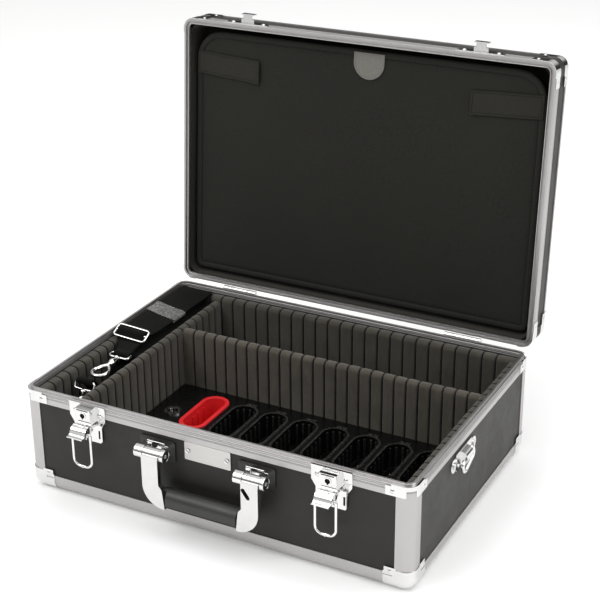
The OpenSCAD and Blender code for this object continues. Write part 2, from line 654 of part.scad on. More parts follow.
module hook_body() { // along -Y from the webbing eye, lying flat
  difference() {
    linear_extrude(3) rrect(28, 12, 4);
    translate([0,0,-1]) linear_extrude(5) rrect(22, 6.4, 2);
  }
  translate([0,0,1.5]) ycyl(2.4, -13, -4.6);
  translate([0,0,1.5]) ycyl(4.2, -20, -12.8);
  translate([0,0,1.5]) ycyl(2.8, -30, -19.8);
  // hook ring with a straight gate side
  translate([0,-41,1.5]) rotate_extrude() translate([9.6,0]) circle(r = 2.3);
  translate([9.4,-41,1.5]) ycyl(1.9, -9, 12);
}
module snap_hook_upper() {
  color(col_chrome) translate([strap_cx + 1, -33, 110]) rotate([3,0,0]) hook_body();
}
module snap_hook_lower() {
  color(col_chrome) translate([strap_cx - 1, -100, 104]) rotate([0,0,0]) rotate([62,0,0]) hook_body();
}

// ---------- lid (drawn closed, then swung open) ----------
module lid_wall_panels() {
  color(col_black) lid_pose() {
    for (s = [0,1]) mirror([0,s,0]) translate([-(W - leg_w - 0.1), -D + skin, lid_z + 4.7]) cube([2*(W - leg_w - 0.1), panel_t, lid_h - 4.7 - edge_r]);
    for (s = [0,1]) mirror([s,0,0]) translate([-W + skin, -(D - leg_w - 0.1), lid_z + 4.7]) cube([panel_t, 2*(D - leg_w - 0.1), lid_h - 4.7 - edge_r]);
    // rounded corner posts between the caps
    quad() translate([-W, -D, lid_z + lid_rim_leg + 0.1]) linear_extrude(lid_h - lid_rim_leg - 0.1 - 16) post_section();
  }
}
module lid_top_panel() {
  color(col_black) lid_pose() translate([-(W - edge_r), -(D - edge_r), lid_top - in1]) cube([2*(W - edge_r), 2*(D - edge_r), panel_t]);
}
module lid_edges() {
  color(col_alu) lid_pose() {
    for (s = [0,1]) mirror([0,s,0]) yz(-(W - 22), W - 22) translate([-D, lid_top]) mirror([0,1]) edge_section(lid_leg);
    for (s = [0,1]) mirror([s,0,0]) xz(-(D - 22), D - 22) translate([-W, lid_top]) mirror([0,1]) edge_section(lid_leg);
  }
}
module lid_rim_frame() {
  color(col_alu) lid_pose() difference() {
    union() {
      ring(lid_z, lid_z + lid_rim_leg, 0, skin);
      ring(lid_z, lid_z + 4.6, 0.5, 6.4);
    }
    ring(lid_z - 1, lid_z + 2.8, 2.2, 5.6);
    ring(lid_z + 3, lid_z + 3.8, -1, 0.45);
    ring(lid_z + 13.6, lid_z + 14.4, -1, 0.45);
  }
}
module lid_corner_caps() {
  color(col_chrome) lid_pose() {
    // outer corners
    quad() translate([-W, -D, lid_top]) mirror([0,0,1]) difference() {
      translate([-0.8,-0.8,-0.8]) intersection() {
        corner_block(edge_r + 0.8, 32, 32, 30);
        union() { cube([60,60,20.8]); cube([19.8,19.8,23.5]); }
      }
      corner_block(edge_r, 60, 60, 60);
      translate([21, -2, 15]) cube([12, 3, 1.2]);
      translate([-2, 21, 15]) cube([3, 12, 1.2]);
    }
    // rim corners
    quad() intersection() {
      ring(lid_z, lid_z + lid_rim_leg, -0.8, 0);
      translate([-W - 5, -D - 5, 0]) union() { cube([22, 22, 300]); translate([0,0,lid_z + 2]) cube([34, 34, 12]); }
    }
    // rivets
    quad() {
      translate([-W + 24, -D - 0.8, lid_top - 17.6]) rotate([90,0,0]) rivet(2.3, 0.9);
      translate([-W - 0.8, -D + 24, lid_top - 17.6]) rotate([0,-90,0]) rivet(2.3, 0.9);
      translate([-W + 23, -D - 0.8, lid_z + 8]) rotate([90,0,0]) rivet(2.3, 0.9);
      translate([-W - 0.8, -D + 23, lid_z + 8]) rotate([0,-90,0]) rivet(2.3, 0.9);
    }
  }
}
module lid_catches() {
  color(col_chrome) lid_pose() for (x = [latch_cx - latch_x, latch_cx + latch_x]) translate([x,0,0]) {
    xz(-D - 1.2, -D) polygon([[-28,lid_z + 1.6],[28,lid_z + 1.6],[28,lid_z + 7],[22,lid_z + 12.5],[12,lid_z + 16.5],[-12,lid_z + 16.5],[-22,lid_z + 12.5],[-28,lid_z + 7]]);
    translate([-6, -D - 11.7, hook_top - 1.2]) cube([12, 10.6, 1.2]);
    translate([-8.5, -D - 5.8, hook_top - 1.2]) cube([17, 4.7, 1.2]);
    translate([-8.5, -D - 11.7, hook_top - 1.2]) cube([17, 1.2, 7]);
    for (s = [-1,1]) translate([s*20, -D - 1.2, lid_z + 7]) rotate([90,0,0]) rivet(2.8, 1.2);
  }
}
module lid_lining() {
  color(col_cloth) lid_pose() difference() {
    translate([-(W - in1 - 0.2), -(D - in1 - 0.2), lid_z + 4.8]) cube([2*(W - in1 - 0.2), 2*(D - in1 - 0.2), lid_h - 4.8 - in1 - 0.2]);
    translate([-(W - in1 - 2.2), -(D - in1 - 2.2), lid_z]) cube([2*(W - in1 - 2.2), 2*(D - in1 - 2.2), lid_h - in1 - 2.2]);
  }
}
module organiser_panel() {
  color(col_cloth) lid_pose() translate([0, 1, panel_z]) linear_extrude(3.4) union() {
    rrect(438, 298, 34);
    translate([0, 60]) rrect(438, 178, 9);
  }
}
module panel_flaps_and_tab() {
  color(col_cloth) lid_pose() {
    pair() translate([-217.5, -D + 39, panel_z - 2.4]) cube([84, 31, 2]);
    translate([7.7, -D + 17, panel_z - 2]) linear_extrude(1.6) intersection() {
      translate([-19, 0]) square([38, 40]);
      union() { translate([0, 11.3]) circle(r = 19); translate([-19, 0]) square([38, 11.3]); }
    }
  }
}

base_front_panel();
base_back_panel();
base_left_panel();
base_right_panel();
base_bottom_panel();
base_corner_posts();
base_bottom_edges();
base_rim_frame();
base_bottom_corner_caps();
base_top_corner_caps();
base_cap_rivets();
latch_plate_left();
latch_plate_right();
latch_hinge_pins();
latch_rivets();
lock_cylinder_left();
lock_cylinder_right();
latch_lever_left();
latch_lever_right();
latch_bail_left();
latch_bail_right();
handle_backing_plates();
handle_brackets();
handle_pins();
handle_arms();
handle_grip();
name_plate();
name_plate_screws();
ring_saddle_left();
ring_saddle_right();
ring_saddle_screws();
strap_ring_left();
strap_ring_right();
hinge_base_leaves();
hinge_pins();
hinge_lid_leaves();
liner_front();
liner_back();
liner_left();
liner_right();
floor_mat();
divider_long();
divider_cross();
charging_tray();
red_pocket_insert();
tray_socket();
contact_pins();
shoulder_strap();
strap_slide_buckle();
snap_hook_upper();
snap_hook_lower();
lid_wall_panels();
lid_top_panel();
lid_edges();
lid_rim_frame();
lid_corner_caps();
lid_catches();
lid_lining();
organiser_panel();
panel_flaps_and_tab();
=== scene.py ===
import math
import random

import bmesh
import bpy
import numpy as np
from mathutils import Matrix, Vector, noise


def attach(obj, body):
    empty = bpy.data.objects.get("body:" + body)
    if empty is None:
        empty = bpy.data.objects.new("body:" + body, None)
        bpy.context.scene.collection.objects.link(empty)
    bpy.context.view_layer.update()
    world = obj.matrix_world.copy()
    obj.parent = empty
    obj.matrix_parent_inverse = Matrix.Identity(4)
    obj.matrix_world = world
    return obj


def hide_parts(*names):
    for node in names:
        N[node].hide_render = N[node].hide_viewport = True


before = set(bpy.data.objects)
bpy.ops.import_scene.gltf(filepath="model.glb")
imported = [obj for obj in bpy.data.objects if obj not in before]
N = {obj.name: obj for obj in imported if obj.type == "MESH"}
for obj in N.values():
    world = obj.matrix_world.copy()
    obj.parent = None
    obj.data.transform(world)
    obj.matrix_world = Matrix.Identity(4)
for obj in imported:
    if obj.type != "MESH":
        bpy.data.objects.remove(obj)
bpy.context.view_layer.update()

random.seed(7)

# ---------------------------------------------------------------- dimensions (mm, from the CAD source)
W, D = 230.0, 162.5
BASE_H, LID_H = 122.0, 51.0
LID_Z = BASE_H + 0.6
LID_TOP = LID_Z + LID_H
HINGE = Vector((0, D + 4, BASE_H + 0.3))
LID_ANGLE = math.radians(94.6)
COMP_X, COMP_Y = 212.4, 144.9
LIN_BOT, LIN_TOP = 9.2, 116.6
LINER_T = 12.4
DIV_T, DIV_TOP = 12.0, 113.0
LONG_X = -169.2
CROSS_Y = 60.5
STRAP_CX = -193.8

# closed lid coordinates -> where the lid stands at rest
LID = Matrix.Translation(HINGE) @ Matrix.Rotation(-LID_ANGLE, 4, "X") @ Matrix.Translation(-HINGE)


# ---------------------------------------------------------------- camera
def make_camera():
    cam = bpy.data.cameras.new("camera")
    cam.lens = 88.1
    cam.sensor_width = 36
    cam.clip_start, cam.clip_end = 0.01, 50
    ob = bpy.data.objects.new("camera", cam)
    bpy.context.scene.collection.objects.link(ob)
    pos = Vector((0.69068, -1.27116, 0.86616))
    target = Vector((0.02329, 0.00003, 0.21227))
    back = (pos - target).normalized()
    right = Vector((0, 0, 1)).cross(back).normalized()
    up = back.cross(right)
    r = math.radians(-0.439)
    r2 = right * math.cos(r) + up * math.sin(r)
    u2 = back.cross(r2)
    m = Matrix((r2, u2, back)).transposed().to_4x4()
    ob.matrix_world = Matrix.Translation(pos) @ m
    bpy.context.scene.camera = ob


make_camera()


# ---------------------------------------------------------------- materials
class Mat:
    """A node material under construction. Positions are the object's own, in metres."""

    def __init__(self, name, **kw):
        self.m = bpy.data.materials.new(name)
        self.m.use_nodes = True
        self.nt = self.m.node_tree
        self.nt.nodes.clear()
        out = self.nt.nodes.new("ShaderNodeOutputMaterial")
        self.p = self.nt.nodes.new("ShaderNodeBsdfPrincipled")
        self.nt.links.new(self.p.outputs[0], out.inputs[0])
        self.tc = self.nt.nodes.new("ShaderNodeTexCoord")
        self.co = self.tc.outputs["Object"]
        for k, v in kw.items():
            self.p.inputs[k.replace("_", " ")].default_value = v

    def node(self, kind, props=None, **inputs):
        n = self.nt.nodes.new(kind)
        for k, v in (props or {}).items():
            setattr(n, k, v)
        for k, v in inputs.items():
            key = int(k[1:]) if k[0] == "i" and k[1:].isdigit() else k.replace("_", " ")
            self.put(n.inputs[key], v)
        return n

    def put(self, socket, v):
        if isinstance(v, bpy.types.NodeSocket):
            self.nt.links.new(v, socket)
        else:
            socket.default_value = v

    def math(self, op, a, b=0.0, c=0.0, clamp=False):
        return self.node("ShaderNodeMath", {"operation": op, "use_clamp": clamp}, i0=a, i1=b, i2=c).outputs[0]

    def place(self, loc=(0, 0, 0), rot=(0, 0, 0), scale=(1, 1, 1), co=None):
        return self.node("ShaderNodeMapping", None, Vector=co or self.co, Location=loc, Rotation=rot, Scale=scale).outputs[0]

    def noise(self, scale, detail=3.0, rough=0.5, co=None, distortion=0.0):
        n = self.node("ShaderNodeTexNoise", None, Vector=co or self.co, Scale=scale, Detail=detail, Roughness=rough, Distortion=distortion)
        return n.outputs["Fac"]

    def voronoi(self, scale, co=None, feature="F1", out="Distance", randomness=1.0):
        n = self.node("ShaderNodeTexVoronoi", {"feature": feature}, Vector=co or self.co, Scale=scale, Randomness=randomness)
        return n.outputs[out]

    def ramp(self, fac, *stops):
        """stops: (position, value or colour)."""
        n = self.node("ShaderNodeValToRGB", None, Fac=fac)
        e = n.color_ramp.elements
        while len(e) > 1:
            e.remove(e[-1])
        for i, (pos, c) in enumerate(stops):
            c = (c, c, c, 1) if isinstance(c, (int, float)) else (*c, 1)
            el = e[0] if i == 0 else e.new(pos)
            el.position = pos
            el.color = c
        return n.outputs[0]

    def mix(self, fac, a, b, blend="MIX"):
        n = self.node("ShaderNodeMix", {"data_type": "RGBA", "blend_type": blend, "clamp_factor": True})
        self.put(n.inputs[0], fac)
        for i, v in ((6, a), (7, b)):
            self.put(n.inputs[i], (*v, 1) if isinstance(v, tuple) and len(v) == 3 else v)
        return n.outputs[2]

    def xyz(self, co=None):
        return self.node("ShaderNodeSeparateXYZ", None, Vector=co or self.co).outputs

    def bump(self, *layers):
        """layers: (height socket, depth in metres)."""
        normal = None
        for h, dist in layers:
            b = self.node("ShaderNodeBump", None, Strength=1.0, Distance=dist, Height=h)
            if normal is not None:
                self.nt.links.new(normal, b.inputs["Normal"])
            normal = b.outputs[0]
        self.nt.links.new(normal, self.p.inputs["Normal"])
        return normal

    def edge_highlight_mask(self, radius=0.0007, lo=0.03, hi=0.25):
        """1 on sharp outer edges, 0 on open faces: where painted edge highlights go."""
        bev = self.node("ShaderNodeBevel", {"samples": 4}, Radius=radius).outputs[0]
        geo = self.node("ShaderNodeNewGeometry").outputs["Normal"]
        dot = self.node("ShaderNodeVectorMath", {"operation": "DOT_PRODUCT"}, i0=bev, i1=geo).outputs["Value"]
        e = self.math("SUBTRACT", 1.0, dot)
        return self.node("ShaderNodeMapRange", {"clamp": True}, Value=e, i1=lo, i2=hi, i3=0.0, i4=1.0).outputs[0]

    def set(self, name, v):
        self.put(self.p.inputs[name], v if not (isinstance(v, tuple) and len(v) == 3) else (*v, 1))


def lid_closed_co(m):
    """The lid's own coordinates as if it were closed, so that patterns follow its edges."""
    h = HINGE / 1000
    rot = Matrix.Rotation(LID_ANGLE, 3, "X")
    loc = h - rot @ h
    return m.place(loc=tuple(loc), rot=(LID_ANGLE, 0, 0))


def srgb(r, g, b):
    f = lambda c: (c / 255 / 12.92) if c / 255 <= 0.04045 else ((c / 255 + 0.055) / 1.055) ** 2.4
    return (f(r), f(g), f(b))


def mat_laminate(name, lid=False):
    m = Mat(name, Roughness=0.5)
    m.p.inputs["Specular IOR Level"].default_value = 0.36
    m.p.inputs["Sheen Weight"].default_value = 0.05
    m.p.inputs["Sheen Roughness"].default_value = 0.4
    big = m.noise(9, 3)
    speck = m.noise(2600, 2, 0.6)
    c = m.mix(m.ramp(big, (0.3, 0.0), (0.7, 1.0)), srgb(25, 24, 20), srgb(30, 28, 24))
    c = m.mix(m.ramp(speck, (0.42, 0.0), (0.7, 0.45)), c, srgb(48, 46, 40))
    m.set("Base Color", c)
    rub = m.noise(45, 4, 0.65, distortion=0.4)
    m.set("Roughness", m.ramp(rub, (0.3, 0.46), (0.75, 0.58)))
    pebble = m.voronoi(1500, feature="SMOOTH_F1")
    fine = m.noise(3800, 2)
    m.bump((pebble, 0.00006), (fine, 0.00004))
    return m.m


def mat_aluminium(name, grooves=None, lid=False, base=(0.50, 0.485, 0.483)):
    """Anodised satin aluminium. grooves: list of z values in mm of the fine lines along an extrusion, bumped and
    darkened with painted shade.
    """
    m = Mat(name, Metallic=1.0)
    co = lid_closed_co(m) if lid else m.co
    streak = m.noise(1, 4, 0.6, co=m.place(scale=(60, 60, 2400), co=co))
    speck = m.noise(5200, 2, 0.7, co=co)
    cloud = m.noise(14, 3, co=co)
    c = m.mix(m.ramp(cloud, (0.3, 0.0), (0.7, 1.0)), tuple(x * 0.95 for x in base), base)
    c = m.mix(m.ramp(speck, (0.45, 0.0), (0.75, 0.4)), c, tuple(min(1, x * 1.18) for x in base))
    # painted highlight: sharp edges are lighter and glossier
    edge = m.edge_highlight_mask(0.0009, 0.02, 0.22)
    c = m.mix(m.math("MULTIPLY", edge, 0.6), c, (0.78, 0.77, 0.76))
    m.set("Base Color", c)
    r = m.ramp(streak, (0.25, 0.36), (0.75, 0.46))
    r = m.math("SUBTRACT", r, m.math("MULTIPLY", edge, 0.12))
    m.set("Roughness", r)
    layers = [(streak, 0.00002), (speck, 0.000018)]
    if grooves:
        z = m.xyz(co)[2]
        total = None
        for g in grooves:
            d = m.math("ABSOLUTE", m.math("SUBTRACT", z, g / 1000))
            line = m.node("ShaderNodeMapRange", {"clamp": True, "interpolation_type": "SMOOTHSTEP"}, Value=d, i1=0.00012, i2=0.0005, i3=0.0, i4=1.0).outputs[0]
            total = line if total is None else m.math("MULTIPLY", total, line)
        layers.append((total, 0.00035))
        # painted shade: the colour darkens along the groove lines
        m.set("Base Color", m.mix(total, tuple(x * 0.55 for x in base), c))
    m.bump(*layers)
    return m.m


def mat_chrome(name, rough=(0.05, 0.13), tint=(0.76, 0.757, 0.75), pits=(), bores=()):
    """pits: boxes (x0, x1, y0, y1, z0, z1) and bores: (x, z, radius, y) of recesses that get painted shade inside, dull
    and near black, in mm.
    """
    m = Mat(name, Metallic=1.0)
    smudge = m.noise(70, 4, 0.6, distortion=0.6)
    hair = m.noise(1, 3, 0.7, co=m.place(scale=(900, 130, 700), rot=(0.3, 0.4, 0.2)))
    edge = m.edge_highlight_mask(0.0005, 0.03, 0.3)
    c = m.mix(m.ramp(smudge, (0.35, 0.0), (0.7, 1.0)), tint, tuple(x * 0.93 for x in tint))
    # painted highlight: sharp edges lighter
    c = m.mix(m.math("MULTIPLY", edge, 0.35), c, (0.95, 0.945, 0.93))
    r = m.ramp(smudge, (0.3, rough[0]), (0.75, rough[1]))
    r = m.math("ADD", r, m.math("MULTIPLY", m.ramp(hair, (0.55, 0.0), (0.8, 1.0)), 0.07))
    dark = None
    if pits or bores:
        x, y, z = m.xyz()[:3]
        for x0, x1, y0, y1, z0, z1 in pits:
            t = None
            for v, a, b in ((x, x0, x1), (y, y0, y1), (z, z0, z1)):
                for k in (m.math("GREATER_THAN", v, a / 1000), m.math("LESS_THAN", v, b / 1000)):
                    t = k if t is None else m.math("MULTIPLY", t, k)
            dark = t if dark is None else m.math("MAXIMUM", dark, t)
        for cx_, cz_, rad, yy in bores:
            dx = m.math("SUBTRACT", x, cx_ / 1000)
            dz = m.math("SUBTRACT", z, cz_ / 1000)
            d = m.math("SQRT", m.math("ADD", m.math("MULTIPLY", dx, dx), m.math("MULTIPLY", dz, dz)))
            t = m.math("MULTIPLY", m.math("LESS_THAN", d, rad / 1000), m.math("GREATER_THAN", y, yy / 1000))
            dark = t if dark is None else m.math("MAXIMUM", dark, t)
        # painted shade: the recesses turn near black and dull, with a little noise
        painted_shade_noise = m.noise(900, 3)
        c = m.mix(dark, c, m.mix(painted_shade_noise, (0.006, 0.006, 0.006), (0.02, 0.02, 0.018)))
        r = m.math("MAXIMUM", r, m.math("MULTIPLY", dark, 0.6))
        m.set("Metallic", m.math("SUBTRACT", 1.0, dark))
    m.set("Base Color", c)
    m.set("Roughness", r)
    m.bump((m.noise(260, 2), 0.00002), (hair, 0.000006))
    return m.m


def mat_foam(name, gain=1.0):
    """Dense foam board. The UV's second value is the depth below the face, from which painted shade darkens the slots.
    """
    m = Mat(name, Roughness=0.92)
    m.p.inputs["Specular IOR Level"].default_value = 0.25
    m.p.inputs["Sheen Weight"].default_value = 0.25
    m.p.inputs["Sheen Roughness"].default_value = 0.5
    cloud = m.noise(28, 4, 0.6)
    drag = m.noise(1, 4, 0.65, co=m.place(scale=(160, 160, 45)))
    pore = m.noise(2400, 3, 0.7)
    # gain scales every tone; above 1 it is painted light
    tone = lambda r, g, b: tuple(x * gain for x in srgb(r, g, b))
    c = m.mix(m.ramp(cloud, (0.3, 0.0), (0.7, 1.0)), tone(57, 53, 46), tone(70, 66, 58))
    c = m.mix(m.ramp(drag, (0.5, 0.0), (0.8, 0.5)), c, tone(86, 81, 72))
    c = m.mix(m.ramp(pore, (0.3, 0.55), (0.5, 0.0)), c, tone(30, 28, 24))
    deep = m.xyz(m.node("ShaderNodeUVMap").outputs[0])[1]
    shade = m.node("ShaderNodeMapRange", {"clamp": True, "interpolation_type": "SMOOTHSTEP"}, Value=deep, i1=0.0007, i2=0.0019, i3=0.0, i4=0.93).outputs[0]
    c = m.mix(shade, c, srgb(9, 8, 7))
    m.set("Base Color", c)
    m.set("Roughness", m.ramp(drag, (0.3, 0.85), (0.7, 0.96)))
    m.bump((cloud, 0.0012), (drag, 0.0004), (pore, 0.00018))
    return m.m


def mat_cloth(name, lo, hi, scale=1700, lid=True, sheen=0.15, weave=False):
    """Short-fibre lining cloth with a speckled face."""
    m = Mat(name, Roughness=0.9)
    m.p.inputs["Specular IOR Level"].default_value = 0.25
    m.p.inputs["Sheen Weight"].default_value = sheen
    m.p.inputs["Sheen Roughness"].default_value = 0.45
    co = lid_closed_co(m) if lid else m.co
    cloud = m.noise(6, 3, co=co)
    fleck = m.noise(scale, 3, 0.65, co=co)
    fibre = m.noise(1, 3, 0.6, co=m.place(scale=(scale * 0.25, scale, scale), rot=(0, 0, 0.5), co=co))
    c = m.mix(m.ramp(fleck, (0.35, 0.0), (0.68, 1.0)), lo, hi)
    c = m.mix(m.ramp(cloud, (0.35, 0.0), (0.7, 0.22)), c, hi)
    m.set("Base Color", c)
    m.set("Roughness", m.ramp(fibre, (0.3, 0.82), (0.7, 0.97)))
    layers = [(fleck, 0.00022), (fibre, 0.00012)]
    if weave:
        x, y, _ = m.xyz(co)[:3]
        wx = m.math("SINE", m.math("MULTIPLY", x, 2 * math.pi / 0.0008))
        wy = m.math("SINE", m.math("MULTIPLY", y, 2 * math.pi / 0.0008))
        layers.append((m.math("MULTIPLY", wx, wy), 0.00006))
    m.bump(*layers)
    return m.m


def mat_webbing(name, base=srgb(11, 11, 10), pitch=0.0024):
    """Woven strap: cross ribs with fine warp threads. The ribbon's UV is in metres along and across."""
    m = Mat(name, Roughness=0.7)
    m.p.inputs["Specular IOR Level"].default_value = 0.12
    m.p.inputs["Sheen Weight"].default_value = 0.02
    uv = m.node("ShaderNodeUVMap").outputs[0]
    u, v = m.xyz(uv)[:2]
    rib = m.math("SINE", m.math("MULTIPLY", u, 2 * math.pi / pitch))
    warp = m.math("SINE", m.math("MULTIPLY", v, 2 * math.pi / (pitch * 0.62)))
    alt = m.math("MULTIPLY", rib, warp)
    fuzz = m.noise(4200, 2, 0.7)
    cloud = m.noise(35, 3)
    h = m.math("ADD", m.math("MULTIPLY", alt, 0.5), m.math("MULTIPLY", rib, 0.35))
    # painted shade and highlight: the colour follows the weave's relief, dark in the hollows and light on the ribs
    c = m.mix(m.ramp(m.math("ADD", m.math("MULTIPLY", h, 0.5), 0.5), (0.2, 0.0), (0.8, 1.0)), tuple(x * 0.55 for x in base), tuple(x * 1.7 for x in base))
    c = m.mix(m.ramp(fuzz, (0.6, 0.0), (0.8, 0.5)), c, tuple(min(1, x * 3) for x in base))
    m.set("Base Color", c)
    m.set("Roughness", m.ramp(cloud, (0.3, 0.72), (0.7, 0.9)))
    m.bump((h, 0.00035), (fuzz, 0.00006))
    return m.m


def mat_plastic(name, base, rough=(0.25, 0.45), grain=2200, depth=0.00003, spec=0.5, glint=None):
    m = Mat(name)
    m.p.inputs["Specular IOR Level"].default_value = spec
    cloud = m.noise(30, 3)
    g = m.noise(grain, 2, 0.6)
    # painted highlight: sharp edges lighter, in the glint colour where one is given
    edge = m.edge_highlight_mask(0.0006 if glint is None else 0.0011, 0.03, 0.3)
    c = m.mix(m.ramp(cloud, (0.3, 0.0), (0.7, 1.0)), tuple(x * 0.85 for x in base), base)
    c = m.mix(m.math("MULTIPLY", edge, 0.55 if glint is None else 0.9), c, glint or tuple(min(1, x * 1.5 + 0.006) for x in base))
    m.set("Base Color", c)
    m.set("Roughness", m.ramp(m.noise(85, 4, 0.6), (0.3, rough[0]), (0.75, rough[1])))
    m.bump((g, depth))
    return m.m


def mat_brass(name):
    m = Mat(name, Metallic=1.0)
    t = m.noise(300, 3)
    m.set("Base Color", m.mix(t, (0.30, 0.22, 0.09), (0.36, 0.27, 0.12)))
    m.set("Roughness", m.ramp(t, (0.3, 0.15), (0.7, 0.32)))
    m.bump((m.noise(1500, 2), 0.00001))
    return m.m


def mat_clear(name):
    """Clouded soft clear film."""
    m = Mat(name, Roughness=0.2, IOR=1.45)
    m.p.inputs["Transmission Weight"].default_value = 0.8
    cl = m.noise(120, 4, 0.6, distortion=0.8)
    m.set("Base Color", m.mix(m.ramp(cl, (0.35, 0.0), (0.7, 1.0)), (0.42, 0.42, 0.40), (0.66, 0.66, 0.64)))
    m.set("Roughness", m.ramp(cl, (0.3, 0.12), (0.7, 0.35)))
    m.bump((cl, 0.0004), (m.noise(600, 2), 0.00003))
    return m.m


M = {
    "laminate": mat_laminate("laminate_black"),
    "alu": mat_aluminium("aluminium_satin"),
    "alu_rim": mat_aluminium("aluminium_rim", grooves=[BASE_H - 1.2, BASE_H - 3.2, BASE_H - 5.6, BASE_H - 6.6]),
    "alu_lid": mat_aluminium("aluminium_lid", lid=True),
    "alu_lid_rim": mat_aluminium("aluminium_lid_rim", grooves=[LID_Z + 1.6, LID_Z + 5.6, LID_Z + 12.2], lid=True),
    "plate": mat_aluminium("aluminium_plate", base=(0.60, 0.585, 0.57)),
    "chrome": mat_chrome("chrome_plate"),
    "wire": mat_chrome("chrome_wire", (0.05, 0.12), (0.82, 0.82, 0.81)),
    "pin": mat_chrome("steel_pin", (0.15, 0.25), (0.6, 0.6, 0.6)),
    # the pits and bores below are painted shade in the screw recesses and the arm's slot
    "screw": mat_chrome("screw_plate", (0.1, 0.2), (0.7, 0.7, 0.69), pits=[(k * 23.2 - 3.1, k * 23.2 + 3.1, -163.2, -160, 95.1, 101.3) for k in (-1, 1)]),
    "arm": mat_chrome("chrome_arms", (0.06, 0.14), (0.69, 0.685, 0.675), bores=[(57.6 + t * 0.5736, 81.6 - t * 0.8192, 2.55, -186.2) for t in (-4.6, -3.1, -1.5, 0, 1.5, 3.1, 4.6)]),
    "moulded": mat_plastic("moulded_black", srgb(38, 38, 36), (0.35, 0.5)),
    "grip": mat_plastic("grip_black", srgb(48, 48, 45), (0.36, 0.46), 1500, 0.00005, 0.45),
    "foam": mat_foam("foam_lining"),
    # the same foam painted lighter, as painted light on the cross divider
    "foam_painted_lighter": mat_foam("foam_divider_cross", 1.45),
    # glint: the painted highlight colour on the tray's edges
    "tray": mat_plastic("tray_black", srgb(10, 10, 10), (0.2, 0.36), 1400, 0.00003, 0.45, glint=(0.11, 0.11, 0.105)),
    "red": mat_plastic("insert_red", srgb(222, 40, 45), (0.3, 0.42), 1400, 0.00003),
    "brass": mat_brass("contact_brass"),
    "webbing": mat_webbing("strap_webbing"),
    "cloth": mat_cloth("lid_cloth", srgb(20, 20, 18), srgb(46, 46, 41), sheen=0.05),
    "lining": mat_cloth("lid_lining_cloth", srgb(32, 31, 27), srgb(54, 52, 46), 1400, sheen=0.08),
    "flap": mat_cloth("flap_cloth", srgb(33, 33, 29), srgb(52, 51, 45), 1500, weave=True, sheen=0.05),
    "tab": mat_cloth("tab_leathercloth", srgb(108, 106, 100), srgb(132, 130, 123), 1100),
    "clear": mat_clear("keeper_clear"),
    "thread": mat_cloth("thread_black", srgb(9, 9, 9), srgb(30, 30, 28), 3000, sheen=0.03),
    "thread_grey": mat_cloth("thread_grey", srgb(92, 90, 85), srgb(128, 126, 119), 3000),
}
LATCH_X = {"left": -147.0, "right": 142.6}
for side, lx in LATCH_X.items():
    # painted shade in the latch plate's slots and top gap, and in the lock's keyway and bore
    M["latch_" + side] = mat_chrome("latch_plate_" + side, pits=[(lx - 7.15, lx + 7.15, -172.35, -160, 118.5, 119.98), (lx - 8.0, lx + 8.0, -166, -160, 99.6, 103.4)])
    M["lock_" + side] = mat_chrome("lock_" + side, pits=[(lx - 0.85, lx + 0.85, -172.8, -160, 108.2, 111.6)], bores=[(lx, 113, 2.95, -172.75)])

NODE_MAT = {
    "base_front_panel": "laminate", "base_back_panel": "laminate", "base_left_panel": "laminate",
    "base_right_panel": "laminate", "base_bottom_panel": "laminate", "base_corner_posts": "alu",
    "base_bottom_edges": "alu", "base_rim_frame": "alu_rim", "base_bottom_corner_caps": "chrome",
    "base_top_corner_caps": "chrome", "base_cap_rivets": "chrome", "latch_plate_left": "latch_left",
    "latch_plate_right": "latch_right", "latch_hinge_pins": "pin", "latch_rivets": "chrome",
    "lock_cylinder_left": "lock_left", "lock_cylinder_right": "lock_right", "latch_lever_left": "chrome",
    "latch_lever_right": "chrome", "latch_bail_left": "wire", "latch_bail_right": "wire",
    "handle_backing_plates": "moulded", "handle_brackets": "chrome", "handle_pins": "chrome",
    "handle_arms": "arm", "handle_grip": "grip", "name_plate": "plate", "name_plate_screws": "screw",
    "ring_saddle_left": "chrome", "ring_saddle_right": "chrome", "ring_saddle_screws": "chrome",
    "strap_ring_left": "wire", "strap_ring_right": "wire", "hinge_base_leaves": "chrome",
    "hinge_pins": "pin", "hinge_lid_leaves": "chrome", "liner_front": "foam", "liner_back": "foam",
    "liner_left": "foam", "liner_right": "foam", "floor_mat": "foam", "divider_long": "foam",
    "divider_cross": "foam", "charging_tray": "tray", "red_pocket_insert": "red", "tray_socket": "chrome",
    "contact_pins": "brass", "shoulder_strap": "webbing", "strap_slide_buckle": "wire",
    "snap_hook_upper": "wire", "snap_hook_lower": "wire", "lid_wall_panels": "laminate",
    "lid_top_panel": "laminate", "lid_edges": "alu_lid", "lid_rim_frame": "alu_lid_rim",
    "lid_corner_caps": "chrome", "lid_catches": "chrome", "lid_lining": "lining",
    "organiser_panel": "cloth", "panel_flaps_and_tab": "flap",
}
for name, key in NODE_MAT.items():
    me = N[name].data
    me.materials.clear()
    me.materials.append(M[key])


def soften(name, width, segments=2, angle=32.0):
    """Rounds a CAD part's edges a little, as a modifier, so that they catch the light."""
    o = N[name]
    w = o.modifiers.new("weld", "WELD")
    w.merge_threshold = 0.000004
    d = o.modifiers.new("planar", "DECIMATE")
    d.decimate_type = "DISSOLVE"
    d.angle_limit = math.radians(0.4)
    b = o.modifiers.new("round", "BEVEL")
    b.width = width / 1000
    b.segments = segments
    b.limit_method = "ANGLE"
    b.angle_limit = math.radians(angle)
    b.use_clamp_overlap = True
    b.miter_outer = "MITER_ARC"
    b.harden_normals = False
    n = o.modifiers.new("normals", "WEIGHTED_NORMAL")
    n.keep_sharp = False
    n.weight = 50


